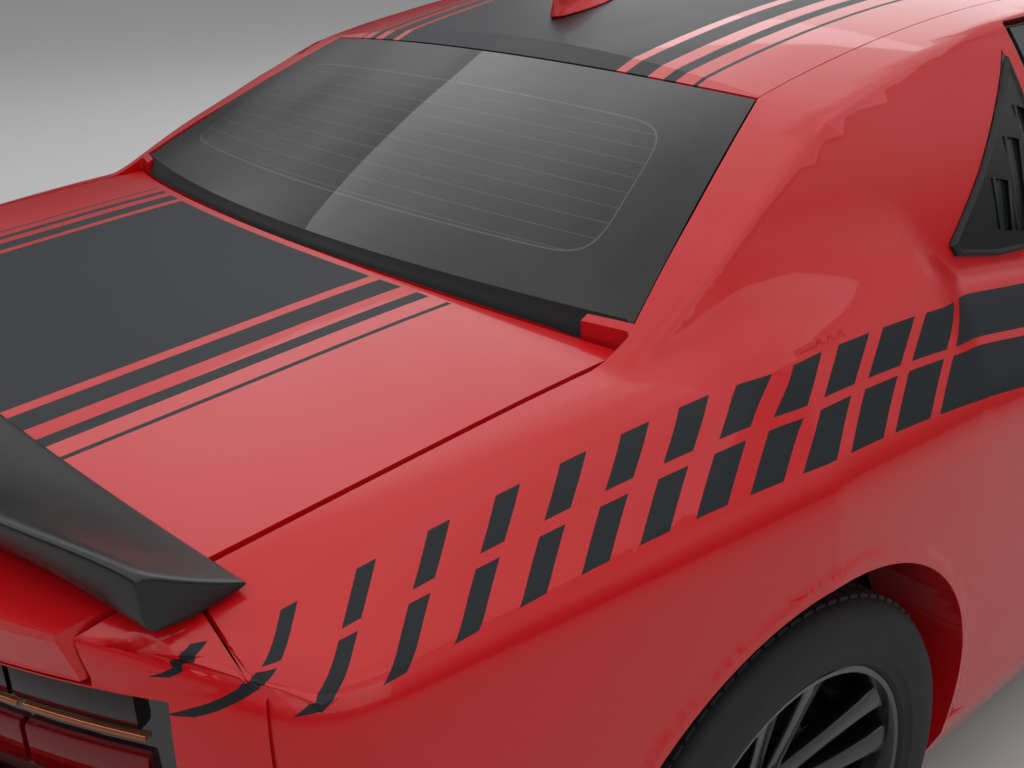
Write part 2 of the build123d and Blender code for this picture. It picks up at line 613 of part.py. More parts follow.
for y, ahead in ((500, 122), (668, 164)):
    for sign in (1, -1):
        lamps.append((Pos(NOSE_X - ahead, sign * y, lamp_height) * Rot(0, 90, 0) * Cylinder(66, 64)) & ahead_of_nose(61))
parts["headlamps"] = Compound([lamp.solid() for lamp in lamps])

# Rear end: fascia with a full-width lamp recess, valance with outlets
LAMP_LOW, LAMP_HIGH = 745.0, 948.0
LAMP_HALF = 752.0
VALANCE_TOP = 392.0
tail = (SKIN & block(TAIL_X - 200, REAR_SEAM_X - 5, -1200, 1200, 0, 1400)) - LID_ROOM
tail = tail - bowed_slot(TAIL_X - 150, TAIL_X + 180, LAMP_LOW, LAMP_HIGH, TAIL_X + TAIL_PLAN_RADIUS, LAMP_HALF - 10)
parts["rear_fascia"] = tail & block(-FAR, FAR, -1200, 1200, VALANCE_TOP + 2, 1400)
OUTLET_X = tail_x(560, 53)
outlets = [Pos(OUTLET_X - 60, sign * 560, 285) * Rot(0, 90, 0) * Cylinder(62, 360) for sign in (1, -1)]
parts["rear_valance"] = (tail & block(-FAR, FAR, -1200, 1200, 0, VALANCE_TOP - 2)) - outlets[0] - outlets[1]
lamp_section = [(TAIL_X + 124, LAMP_LOW - 16), (TAIL_X + 136, 800), (TAIL_X + 132, LAMP_HIGH + 14),
                (TAIL_X + 156, LAMP_HIGH + 14), (TAIL_X + 160, 800), (TAIL_X + 148, LAMP_LOW - 16)]
parts["tail_lamps"] = bowed_panel(lamp_section, TAIL_X + TAIL_PLAN_RADIUS, LAMP_HALF + 10)

# Spoiler on the lid, its tips standing out over the quarter panels
SPOILER_HALF = 775.0
SPOILER_FRONT_X = TAIL_X + 364
SPOILER_REAR_X = TAIL_X + 132


def spoiler_section(y, rise, lip):
    """One side-view section of the spoiler at y: a hollow top sweeping up to a lip over an undercut."""
    front = SPOILER_FRONT_X + y ** 2 / 8000
    rear = SPOILER_REAR_X + y ** 2 / 3000
    front_z = crown_height(front, y)
    rear_z = crown_height(rear, y)
    top = rear_z + rise
    return Wire([
        Edge.make_three_point_arc(
            (front, y, front_z + 5), ((front + rear) / 2, y, 0.55 * front_z + 0.45 * top), (rear + 6, y, top)),
        Edge.make_line((rear + 6, y, top), (rear, y, top - 5)),
        Edge.make_line((rear, y, top - 5), (rear + 5, y, top - lip)),
        Edge.make_line((rear + 5, y, top - lip), (rear + 44, y, rear_z - 12)),
        Edge.make_line((rear + 44, y, rear_z - 12), (front, y, front_z - 12)),
        Edge.make_line((front, y, front_z - 12), (front, y, front_z + 5)),
    ])


spoiler_rows = [(SPOILER_HALF, 66, 62), (700, 74, 44), (600, 77, 26), (300, 79, 23), (0, 80, 22)]
spoiler_rows = spoiler_rows + [(-y, rise, lip) for y, rise, lip in reversed(spoiler_rows[:-1])]
wing = Solid.make_loft([spoiler_section(*row) for row in spoiler_rows])
over_lid = block(-FAR, FAR, -LID_HALF - 6, LID_HALF + 6, 900, 1400)
wing = wing - lower_top(-0.4) - (lower_top(-6.5) - over_lid)
parts["spoiler"] = max(wing.solids(), key=lambda s: s.volume)

# Floor, tunnel, firewall, trunk floor, rear wheel boxes and front rails
floor_half = CABIN_HALF - 2
shell_rear = REAR_AXLE_X - 950
pieces = [
    block(-900, FIREWALL_X, -floor_half, floor_half, FLOOR_Z, FLOOR_Z + FLOOR_THICKNESS),
    block(-790, FIREWALL_X, -140, 140, FLOOR_Z, 430),
    block(-1000, -780, -140, 140, FLOOR_Z, 372),
    block(FIREWALL_X - 24, FIREWALL_X, -floor_half, floor_half, FLOOR_Z, 940),
    block(-930, -900, -floor_half, floor_half, FLOOR_Z, 372),
    block(SEAT_BACK_WALL_X, -900, -560, 560, 342, 372),
    block(SEAT_BACK_WALL_X, SEAT_BACK_WALL_X + 24, -560, 560, 342, 1030),
    block(SEAT_BACK_WALL_X, SEAT_BACK_WALL_X + 24, -645, 645, 810, 1030),
]
for sign in (1, -1):
    y1, y2 = sorted((sign * 545, sign * 882))
    box = drum(REAR_AXLE_X, TYRE_RADIUS, ARCH_RADIUS + 24, y1, y2) - drum(
        REAR_AXLE_X, TYRE_RADIUS, ARCH_RADIUS + 10, min(y1, y2 - 400) if sign < 0 else 560, -560 if sign < 0 else 1000)
    box = box - drum(REAR_AXLE_X, 340, 70, -700, 700)
    y1, y2 = sorted((sign * (CABIN_HALF - 2), sign * 1000))
    box = box - block(SEAT_BACK_WALL_X - 2, FAR, y1, y2, 0, 1000)
    pieces.append(box & block(-FAR, FAR, -1000, 1000, 300, 1000))
    y1, y2 = sorted((sign * 470, sign * 395))
    pieces.append(block(FIREWALL_X - 20, NOSE_X - 190, y1, y2, 330, 420))
    y1, y2 = sorted((sign * 470, sign * 455))
    pieces.append(block(FIREWALL_X - 20, NOSE_X - 290, y1, y2, 400, 830))
pieces.append(block(NOSE_X - 230, NOSE_X - 190, -620, 620, 300, 420))
pieces.append(block(NOSE_X - 310, NOSE_X - 280, -620, 620, 790, 830))
underbody = pieces[0]
for piece in pieces[1:]:
    underbody = underbody + piece
underbody = underbody - block(-780, FIREWALL_X + 50, -115, 115, 100, 405) - block(-1100, -770, -115, 115, 100, 345)
parts["underbody"] = underbody
parts["trunk_floor"] = block(shell_rear, SEAT_BACK_WALL_X, -560, 560, 372, 400) - underbody
parts["shelf_floor"] = block(LID_FRONT_X + 40, SEAT_BACK_WALL_X, -645, 645, 1020, 1038)
ring = drum(FRONT_AXLE_X, TYRE_RADIUS, ARCH_RADIUS + 18, 474, 880) - drum(FRONT_AXLE_X, TYRE_RADIUS, ARCH_RADIUS + 10, 400, 1000)
liner = (ring & block(-FAR, FAR, 0, 1200, 260, 1000)) & (Pos(0, -2, -24) * INN)
liner = liner - block(FRONT_AXLE_X - 75, FRONT_AXLE_X + 75, 400, 680, 400, 1000) - block(-FAR, FAR, 848, 1200, 0, 420)
liner = max(liner.solids(), key=lambda s: s.volume)
parts["front_liners"] = Compound([liner, mirrored(liner)])

# Engine, gearbox and shaft, radiator, tank, exhaust
gearbox = block(480, FIREWALL_X + 100, -100, 100, 225, 392)
shaft = Pos(-384, 0, 300) * Rot(0, 90, 0) * Cylinder(38, 1716)
parts["engine"] = (block(1040, 1720, -290, 290, 262, 820) + gearbox) - drum(FRONT_AXLE_X, 260, 90, -500, 500)
parts["drive_shaft"] = shaft
parts["radiator"] = block(NOSE_X - 275, NOSE_X - 235, -370, 370, 424, 786)
parts["fuel_tank"] = fillet(block(-1165, -945, -480, 480, 172, 338).edges(), 20) - block(-1400, -900, -145, 145, 160, 420)
tank_halves = parts["fuel_tank"].solids()
parts["fuel_tank"] = Compound(tank_halves)
pipes = []
for sign in (1, -1):
    run = Pos(-200, sign * 190, 185) * Rot(0, 90, 0) * Cylinder(32, 2000)
    run = run & block(-1200, 1200, -1000, 1000, 0, 213)
    muffler = Pos(REAR_AXLE_X - 666, sign * 500, 285) * Box(424, 240, 140)
    muffler = fillet(muffler.edges().filter_by(Axis.X), 50)
    tip = Pos(OUTLET_X + 105, sign * 560, 285) * Rot(0, 90, 0) * (Cylinder(52, 290) - Cylinder(45, 300))
    pipes.append(muffler + tip)
parts["exhaust"] = Compound(pipes)

# Front and rear suspension
cross = block(FRONT_AXLE_X - 60, FRONT_AXLE_X + 60, -380, 380, 178, 256)
for sign in (1, -1):
    arm = plan_prism([(FRONT_AXLE_X - 150, sign * 360), (FRONT_AXLE_X + 150, sign * 360), (FRONT_AXLE_X + 34, sign * 738),
                      (FRONT_AXLE_X - 34, sign * 738)], 186, 212)
    cross = cross + arm
    cross = cross + (Pos(FRONT_AXLE_X, sign * 566, 690) * Rot(sign * 14, 0, 0) * Cylinder(46, 420))
    cross = cross + block(FRONT_AXLE_X - 50, FRONT_AXLE_X + 50, sign * 430, sign * 640, 850, 872)
parts["front_suspension"] = Compound(cross.solids())
rear = block(REAR_AXLE_X - 120, REAR_AXLE_X + 120, -110, 110, 222, 338)
for sign in (1, -1):
    rear = rear + (Pos(REAR_AXLE_X, sign * 400, 334) * Rot(90 + sign * 5.5, 0, 0) * Cylinder(22, 620))
    rear = rear + block(REAR_AXLE_X - 45, REAR_AXLE_X + 45, sign * 690, sign * 752, 215, 500)
    rear = rear + block(REAR_AXLE_X - 260, REAR_AXLE_X - 200, sign * 120, sign * 520, 240, 300)
    rear = rear + block(REAR_AXLE_X + 130, REAR_AXLE_X + 190, sign * 100, sign * 520, 240, 300)
    rear = rear + block(REAR_AXLE_X - 260, REAR_AXLE_X + 190, sign * 440, sign * 520, 240, 300)
    rear = rear + block(REAR_AXLE_X - 30, REAR_AXLE_X + 30, sign * 500, sign * 700, 225, 262)
rear = rear + block(REAR_AXLE_X - 260, REAR_AXLE_X + 100, -120, 120, 240, 300)
parts["rear_suspension"] = rear


def wheel_section(points):
    """A ring about the wheel's axle from (radius, place across) points."""
    face = make_face(Polyline(*[(0, y, r) for r, y in points], close=True))
    return revolve(face, Axis((0, 0, 0), (0, 1, 0)), 360)


def tyre():
    """A tyre about the Y axis, outer side towards +Y."""
    r, w, b = TYRE_RADIUS, TYRE_WIDTH / 2, RIM_RADIUS + 0.5
    return wheel_section([
        (b, -RIM_WIDTH / 2), (b + 30, -w + 4), (b + 62, -w), (r - 22, -w + 10), (r - 5, -w + 26), (r, -60), (r, 60),
        (r - 5, w - 26), (r - 22, w - 10), (b + 62, w), (b + 30, w - 4), (b, RIM_WIDTH / 2), (b, RIM_WIDTH / 2 - 18),
        (b + 14, 70), (b + 14, -70), (b, -RIM_WIDTH / 2 + 18),
    ])


def rim():
    """A wheel rim with twin spokes, hub and brake disc, about the Y axis, outer side towards +Y."""
    h = RIM_WIDTH / 2
    body = wheel_section([(RIM_RADIUS, -h), (RIM_RADIUS, h), (RIM_RADIUS - RIM_WALL, h), (RIM_RADIUS - RIM_WALL, -h)])
    profile = [(40, 36), (40, 66), (90, 70), (RIM_RADIUS - 5, 98), (RIM_RADIUS - 5, 72), (100, 40)]
    for k in range(SPOKES):
        for side in (-1, 1):
            leaf = make_face(Polyline(*[(0, y, r) for r, y in profile], close=True))
            leaf = Pos(-13, 0, 0) * extrude(leaf, 26, dir=(1, 0, 0))
            body = body + Rot(0, 360 / SPOKES * k + side * 8, 0) * (Pos(side * 12, 0, 0) * leaf)
    body = body + drum(0, 0, HUB_RADIUS, -46, 66)
    return body + drum(0, 0, DISC_RADIUS, -37, -37 + DISC_THICKNESS)


TYRE = tyre()
RIM = rim()
for name, x, sign in wheel_places():
    place = Pos(x, sign * WHEEL_Y, TYRE_RADIUS)
    turned = Rot(0, 0, 0 if sign > 0 else 180)
    parts["tyre_" + name] = place * turned * TYRE
    parts["rim_" + name] = place * turned * RIM

# Steered knuckles with their brake calipers
knuckle = block(FRONT_AXLE_X - 38, FRONT_AXLE_X + 38, 704, 752, 222, 520)
knuckle = knuckle + block(FRONT_AXLE_X - 150, FRONT_AXLE_X + 38, 712, 742, 300, 334)
clamp = block(FRONT_AXLE_X - 222, FRONT_AXLE_X - 112, 752 - 14, 818, TYRE_RADIUS - 78, TYRE_RADIUS + 78)
clamp = clamp - drum(FRONT_AXLE_X, TYRE_RADIUS, DISC_RADIUS + 6, WHEEL_Y - 43, WHEEL_Y - 1)
knuckle = knuckle + clamp + block(FRONT_AXLE_X - 160, FRONT_AXLE_X, 738, 752, TYRE_RADIUS - 50, TYRE_RADIUS + 50)
parts["knuckle_front_left"] = knuckle
parts["knuckle_front_right"] = mirrored(knuckle)

# Cabin: dashboard, console, steering wheel, seats
dash = side_prism([(914, 930), (850, 962), (700, 972), (610, 960), (560, 905), (590, 820), (650, 760), (700, 640), (914, 600)], -736, 736)
column = Pos(548, 370, 859) * Rot(0, -68, 0) * Cylinder(30, 180)
parts["dashboard"] = dash + column
parts["console"] = side_prism([(600, 434), (600, 640), (420, 640), (240, 600), (-300, 600), (-330, 560), (-330, 434)], -118, 118)
wheel_ring = Torus(172, 15)
wheel_hub = Cylinder(58, 40) + Box(340, 36, 16) + Pos(0, 0, 0) * Box(36, 340, 16)
steer = Pos(438, 370, 903) * Rot(0, -68, 0) * (wheel_ring + wheel_hub)
parts["steering_wheel"] = steer
seat_side = [(340, 330), (352, 500), (320, 548), (250, 556), (-90, 520), (-150, 560), (-282, 1090), (-330, 1125), (-372, 1100),
             (-250, 560), (-190, 330)]
seat = fillet(side_prism(seat_side, 160, 630).edges().filter_by(Axis.Y), 18)
parts["front_seats"] = Compound([seat, mirrored(seat)])
bench_side = [(-800, 376), (-775, 520), (-800, 560), (-1150, 520), (-1230, 960), (-1282, 960), (-1282, 376)]
parts["rear_seat"] = fillet(side_prism(bench_side, -540, 540).edges().filter_by(Axis.Y), 18)

fin_side = [(ROOF_PEAK[0] - 500, 1411), (ROOF_PEAK[0] - 590, 1455), (ROOF_PEAK[0] - 640, 1462), (ROOF_PEAK[0] - 660, 1390)]
fin = side_prism(fin_side, -22, 22) - greenhouse(-0.4)
parts["antenna_fin"] = max(fin.solids(), key=lambda s: s.volume)

os.makedirs("parts", exist_ok=True)
for name, shape in parts.items():
    solids = shape.solids()
    export_step(solids[0] if len(solids) == 1 else Compound(solids), f"parts/{name}.step")
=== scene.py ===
# %% [markdown]
# # A muscle coupe, dressed around its solid model
# The solid model gives every panel, gap and hinge. This script loads it, gives each panel the finish of the real one,
# and adds what is too fine for the solids: soft pressed corners, tyre tread, spokes, lamp segments, louvres, a seal,
# seats and trim.

import json
import math

import bmesh
import bpy
from mathutils import Matrix, Vector
from mathutils.bvhtree import BVHTree

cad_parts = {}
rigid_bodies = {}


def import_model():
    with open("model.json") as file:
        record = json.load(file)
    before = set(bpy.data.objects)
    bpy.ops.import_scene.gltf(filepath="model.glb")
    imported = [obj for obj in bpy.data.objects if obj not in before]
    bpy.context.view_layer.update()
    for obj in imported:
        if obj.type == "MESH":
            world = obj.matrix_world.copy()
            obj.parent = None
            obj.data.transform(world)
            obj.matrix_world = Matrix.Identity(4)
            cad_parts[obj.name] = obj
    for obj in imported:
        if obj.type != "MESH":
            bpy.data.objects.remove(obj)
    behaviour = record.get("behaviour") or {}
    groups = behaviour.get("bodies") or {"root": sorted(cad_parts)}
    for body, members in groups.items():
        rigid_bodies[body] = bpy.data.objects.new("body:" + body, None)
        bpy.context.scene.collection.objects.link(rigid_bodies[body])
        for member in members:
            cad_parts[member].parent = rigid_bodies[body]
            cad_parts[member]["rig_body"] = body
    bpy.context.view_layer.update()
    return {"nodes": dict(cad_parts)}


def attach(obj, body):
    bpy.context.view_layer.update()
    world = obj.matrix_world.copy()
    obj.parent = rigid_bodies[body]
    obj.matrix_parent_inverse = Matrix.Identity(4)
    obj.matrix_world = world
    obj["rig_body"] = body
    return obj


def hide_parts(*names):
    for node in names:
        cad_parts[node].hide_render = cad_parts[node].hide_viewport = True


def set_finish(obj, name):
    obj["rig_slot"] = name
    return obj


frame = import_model()

# %% [markdown]
# ## Camera
# The photograph looks down at the right rear quarter from about the height of a standing person. The place and the three
# angles come from matching the window, the shut lines and the wheel, so they are written as numbers.

# %% Camera
CAMERA_PLACE = Vector((-2.472, -1.641, 1.617))
CAMERA_YAW, CAMERA_PITCH, CAMERA_ROLL = 0.8756, -0.4076, -0.0227
ahead = Vector((math.cos(CAMERA_YAW) * math.cos(CAMERA_PITCH), math.sin(CAMERA_YAW) * math.cos(CAMERA_PITCH),
                math.sin(CAMERA_PITCH)))
right = ahead.cross(Vector((0, 0, 1))).normalized()
above = right.cross(ahead)
across = right * math.cos(CAMERA_ROLL) + above * math.sin(CAMERA_ROLL)
upward = above * math.cos(CAMERA_ROLL) - right * math.sin(CAMERA_ROLL)
camera_data = bpy.data.cameras.new("camera")
camera_data.sensor_fit = "HORIZONTAL"
camera_data.sensor_width = 36.0
camera_data.lens = 40.86
camera_data.clip_start, camera_data.clip_end = 0.05, 100
camera = bpy.data.objects.new("camera", camera_data)
camera.matrix_world = Matrix.Translation(CAMERA_PLACE) @ Matrix((across, upward, -ahead)).transposed().to_4x4()
bpy.context.scene.collection.objects.link(camera)
bpy.context.scene.camera = camera
bpy.context.scene.view_settings.view_transform = "Standard"
print("camera at", [round(c, 3) for c in camera.location])

# %% [markdown]
# ## Colours and nodes
# Colours are written as the hex values that a paint chart or a picture gives, and turned to the linear values that a
# renderer works with. One small function adds a node, and a material is then a short table of nodes.

# %% Colours and nodes
def linear(code):
    """Linear colour of an sRGB hex value."""
    values = [int(code[i:i + 2], 16) / 255 for i in (0, 2, 4)]
    return tuple(v / 12.92 if v <= 0.04045 else ((v + 0.055) / 1.055) ** 2.4 for v in values) + (1.0,)


def add_node(tree, name, kind, settings, inputs):
    """Adds a node. An input given as text is a link to an earlier node, written name or name:output."""
    node = tree.nodes.new("ShaderNode" + kind)
    node.name = node.label = name
    for key, value in settings.items():
        setattr(node, key, value)
    for key, value in inputs.items():
        if isinstance(value, str):
            source, _, output = value.partition(":")
            output = int(output) if output.isdigit() else output or 0
            tree.links.new(tree.nodes[source].outputs[output], node.inputs[key])
        else:
            node.inputs[key].default_value = value
    return node


def new_material(name, rows):
    """A material from a table of nodes, the last of them its shader."""
    material = bpy.data.materials.new(name)
    material.use_nodes = True
    tree = material.node_tree
    tree.nodes.clear()
    for row in rows:
        add_node(tree, *row)
    add_node(tree, "output", "OutputMaterial", {}, {"Surface": rows[-1][0]})
    return material


# %% [markdown]
# ## Plain finishes
# Moulded plastic, rubber, cast and rolled metal all have a slight change of tone over the part, a fine grain and small
# bumps. One function makes them from two tones, a roughness range and the real size of the grain in millimetres.

# %% Plain finishes
def grained(name, dark, light, rough, grain_mm, bump_mm, metallic=0.0, coat=0.0, ior=1.5):
    """A finish with a soft change of tone and a fine grain."""
    settings = {"Metallic": metallic, "Coat Weight": coat, "Roughness": "roughness", "Base Color": "tone:2", "Normal": "bump"}
    if not metallic:
        settings["IOR"] = ior
    return new_material(name, [
        ("place", "TexCoord", {}, {}),
        ("cloud", "TexNoise", {}, {"Vector": "place:Object", "Scale": 9.0, "Detail": 3.0}),
        ("grain", "TexNoise", {}, {"Vector": "place:Object", "Scale": 1000 / grain_mm, "Detail": 2.0}),
        ("tone", "Mix", {"data_type": "RGBA"}, {0: "cloud", 6: linear(dark), 7: linear(light)}),
        ("roughness", "MapRange", {}, {0: "cloud", 1: 0.25, 2: 0.75, 3: rough[0], 4: rough[1]}),
        ("bump", "Bump", {}, {"Height": "grain", "Strength": 0.35, "Distance": bump_mm / 1000}),
        ("shader", "BsdfPrincipled", {}, settings),
    ])


# ABS, moulded with a fine leather-like grain: rear valance, grille and console
GRAINED_ABS = grained("abs_moulded_grained", "131415", "1C1D1F", (0.42, 0.56), 1.2, 0.12)
# ABS, moulded smooth and left with a satin sheen: spoiler, louvres, cowl
SATIN_ABS = grained("abs_moulded_satin", "0E0F10", "16181A", (0.26, 0.36), 2.5, 0.02)
# EPDM rubber, extruded: the seals of the quarter windows and the rear window
RUBBER_SEAL = grained("epdm_rubber_extruded", "08090A", "101112", (0.55, 0.7), 1.5, 0.05)
# Gloss enamel over cast aluminium: wheels and headlamp bowls
BLACK_ENAMEL = grained("aluminium_cast_black_enamel", "08090A", "0F1012", (0.16, 0.26), 3.0, 0.03, coat=0.6)
# Grey iron, cast and turned: brake discs
TURNED_IRON = grained("grey_iron_turned", "6F6B66", "8C8882", (0.3, 0.42), 1.0, 0.05, metallic=1.0)
# Pressed and forged steel, left raw: suspension and drive shaft
RAW_STEEL = grained("steel_pressed_raw", "3A3836", "565350", (0.45, 0.62), 4.0, 0.1, metallic=1.0)
# Aluminium, sand cast: engine and gearbox
CAST_ALUMINIUM = grained("aluminium_sand_cast", "7E8083", "A0A2A5", (0.45, 0.6), 2.0, 0.15, metallic=1.0)
# Stainless steel, drawn and polished: exhaust
POLISHED_STEEL = grained("stainless_steel_polished", "B9B9B7", "CFCFCD", (0.12, 0.2), 6.0, 0.01, metallic=1.0)
# Polyurethane underseal, sprayed: floor and wheel housings
UNDERSEAL = grained("underseal_sprayed", "141414", "242322", (0.7, 0.85), 6.0, 0.6)
# Carpet, tufted nylon: the floors behind the seats
CARPET = grained("nylon_carpet_tufted", "0E0E0F", "1D1D1F", (0.9, 1.0), 3.0, 1.2)
# Soft-touch polyurethane skin: dashboard
SOFT_SKIN = grained("polyurethane_skin_moulded", "151516", "1F2021", (0.5, 0.62), 1.6, 0.2)
# Silvered glass: mirrors and headlamp rings
SILVERED = grained("glass_silvered", "D2D4D6", "DDDFE1", (0.02, 0.04), 8.0, 0.0, metallic=1.0)
# Clear-coated black for the bezels inside the lamps
LAMP_BLACK = grained("polycarbonate_black_gloss", "0A0A0B", "121214", (0.08, 0.14), 4.0, 0.01, coat=0.5)
print("plain finishes", len(bpy.data.materials))

# %% [markdown]
# ## Red paint and matt stripes
# The body is red enamel under clear lacquer. The stripes are cut from matt black film and laid over it, so they are a
# mask on the same paint: where the mask is one, the colour is the film's, the gloss is low and the lacquer is covered.
# The mask is arithmetic on the place of a point, in metres, so it stays sharp at any distance and runs from panel to panel.

# %% Stripe measures
RED = ("BE0E15", "CC141B")
FILM = ("1B1D1F", "222427")
# Edges of the lengthwise bands from the centre line, in metres: each pair is one black band
BANDS = ((-1.0, 0.300), (0.320, 0.363), (0.393, 0.416), (0.448, 0.456))
# Front edge of the lid on the centre line and at its corners, and how far the bands stay behind it
LID_EDGE, LID_CORNER, LID_REACH, BAND_MARGIN = -1.617, 0.106, 0.703, 0.014
# Blocks on the flank lean forward by LEAN metres a metre of height. Their count grows along the car as a cubic of the
# place, and the edges of the two rows are cubics too, all measured from MIDDLE_X, highest power first.
MIDDLE_X, LEAN = -1.5, 1.7
COLUMN_CURVE = (-0.9141, -3.442, 11.4305, 7.3527)
ROW_EDGES = {"low_1": (-0.0152, -0.0913, -0.0138, 0.9610), "low_2": (-0.0584, -0.0787, 0.0240, 1.0048),
             "up_1": (-0.0474, -0.0876, 0.0257, 1.0142), "up_2": (-0.0577, -0.0884, 0.0554, 1.0506)}
BLACK_SHARE, BLACK_SHARE_GROWTH, SOLID_FROM, BAND_END = 0.22, 0.052, -1.012, 1.30
FORWARD_OF, FORWARD_FALL = -0.72, 0.022


def cubic_rows(name, place, curve):
    """Rows that work out a cubic of an earlier value."""
    a, b, c, d = curve
    return [
        (name + "_a", "Math", {"operation": "MULTIPLY_ADD"}, {0: place, 1: a, 2: b}),
        (name + "_b", "Math", {"operation": "MULTIPLY_ADD"}, {0: place, 1: name + "_a", 2: c}),
        (name, "Math", {"operation": "MULTIPLY_ADD"}, {0: place, 1: name + "_b", 2: d}),
    ]


def flank_mask():
    """Rows that work out the blocks on the flank. The last one is named mask."""
    rows = [
        ("place", "TexCoord", {}, {}),
        ("axes", "SeparateXYZ", {}, {0: "place:Object"}),
        ("side", "Math", {"operation": "ABSOLUTE"}, {0: "axes:Y"}),
        ("outboard", "Math", {"operation": "GREATER_THAN"}, {0: "side", 1: 0.74}),
        ("slant", "Math", {"operation": "MULTIPLY_ADD"}, {0: "axes:Z", 1: -LEAN, 2: "axes:X"}),
        ("from_middle", "Math", {"operation": "ADD"}, {0: "slant", 1: LEAN - MIDDLE_X}),
        *cubic_rows("column", "from_middle", COLUMN_CURVE),
        ("whole", "Math", {"operation": "FLOOR"}, {0: "column"}),
        ("phase", "Math", {"operation": "FRACT"}, {0: "column"}),
        ("share", "Math", {"operation": "MULTIPLY_ADD"}, {0: "whole", 1: BLACK_SHARE_GROWTH, 2: BLACK_SHARE}),
        ("inside", "Math", {"operation": "LESS_THAN"}, {0: "phase", 1: "share"}),
        ("solid", "Math", {"operation": "GREATER_THAN"}, {0: "from_middle", 1: SOLID_FROM - MIDDLE_X}),
        ("block", "Math", {"operation": "MAXIMUM"}, {0: "inside", 1: "solid"}),
        ("end", "Math", {"operation": "LESS_THAN"}, {0: "from_middle", 1: BAND_END - MIDDLE_X}),
        ("held", "Math", {"operation": "SMOOTH_MIN"}, {0: "axes:X", 1: FORWARD_OF, 2: 0.25}),
        ("forward", "Math", {"operation": "SUBTRACT"}, {0: "axes:X", 1: "held"}),
        ("held_from", "Math", {"operation": "SUBTRACT"}, {0: "held", 1: MIDDLE_X}),
    ]
    for name, curve in ROW_EDGES.items():
        rows += cubic_rows(name + "_z", "held_from", curve)
        rows.append((name, "Math", {"operation": "MULTIPLY_ADD"}, {0: "forward", 1: -FORWARD_FALL, 2: name + "_z"}))
    for name, first in (("low", 0.0), ("up", -1.0)):
        rows += [
            (name + "_over", "Math", {"operation": "GREATER_THAN"}, {0: "axes:Z", 1: name + "_1"}),
            (name + "_under", "Math", {"operation": "LESS_THAN"}, {0: "axes:Z", 1: name + "_2"}),
            (name + "_column", "Math", {"operation": "GREATER_THAN"}, {0: "column", 1: first}),
            (name + "_begun", "Math", {"operation": "MAXIMUM"}, {0: name + "_column", 1: "solid"}),
            (name + "_between", "Math", {"operation": "MULTIPLY"}, {0: name + "_over", 1: name + "_under"}),
            (name + "_row", "Math", {"operation": "MULTIPLY"}, {0: name + "_between", 1: name + "_begun"}),
        ]
    return rows + [
        ("rows", "Math", {"operation": "MAXIMUM"}, {0: "low_row", 1: "up_row"}),
        ("blocks", "Math", {"operation": "MULTIPLY"}, {0: "rows", 1: "block"}),
        ("ended", "Math", {"operation": "MULTIPLY"}, {0: "blocks", 1: "end"}),
        ("mask", "Math", {"operation": "MULTIPLY"}, {0: "ended", 1: "outboard"}),
    ]


def centre_mask():
    """Rows that work out the lengthwise bands over the hood, roof and lid. The last one is named mask."""
    rows = [
        ("place", "TexCoord", {}, {}),
        ("axes", "SeparateXYZ", {}, {0: "place:Object"}),
        ("side", "Math", {"operation": "ABSOLUTE"}, {0: "axes:Y"}),
        ("part", "Math", {"operation": "DIVIDE"}, {0: "side", 1: LID_REACH}),
        ("square", "Math", {"operation": "MULTIPLY"}, {0: "part", 1: "part"}),
        ("edge", "Math", {"operation": "MULTIPLY_ADD"}, {0: "square", 1: LID_CORNER, 2: LID_EDGE - BAND_MARGIN}),
        ("on_lid", "Math", {"operation": "LESS_THAN"}, {0: "axes:X", 1: "edge"}),
        ("on_roof", "Math", {"operation": "GREATER_THAN"}, {0: "axes:X", 1: -1.20}),
        ("along", "Math", {"operation": "MAXIMUM"}, {0: "on_lid", 1: "on_roof"}),
        ("high", "Math", {"operation": "GREATER_THAN"}, {0: "axes:Z", 1: 0.80}),
        ("bands_0", "Math", {"operation": "MULTIPLY"}, {0: "high", 1: 0.0}),
    ]
    for number, (inner, outer) in enumerate(BANDS):
        rows += [
            (f"out_{number}", "Math", {"operation": "GREATER_THAN"}, {0: "side", 1: inner}),
            (f"in_{number}", "Math", {"operation": "LESS_THAN"}, {0: "side", 1: outer}),
            (f"band_{number}", "Math", {"operation": "MULTIPLY"}, {0: f"out_{number}", 1: f"in_{number}"}),
            (f"bands_{number + 1}", "Math", {"operation": "MAXIMUM"}, {0: f"bands_{number}", 1: f"band_{number}"}),
        ]
    return rows + [
        ("placed", "Math", {"operation": "MULTIPLY"}, {0: f"bands_{len(BANDS)}", 1: "along"}),
        ("mask", "Math", {"operation": "MULTIPLY"}, {0: "placed", 1: "high"}),
    ]


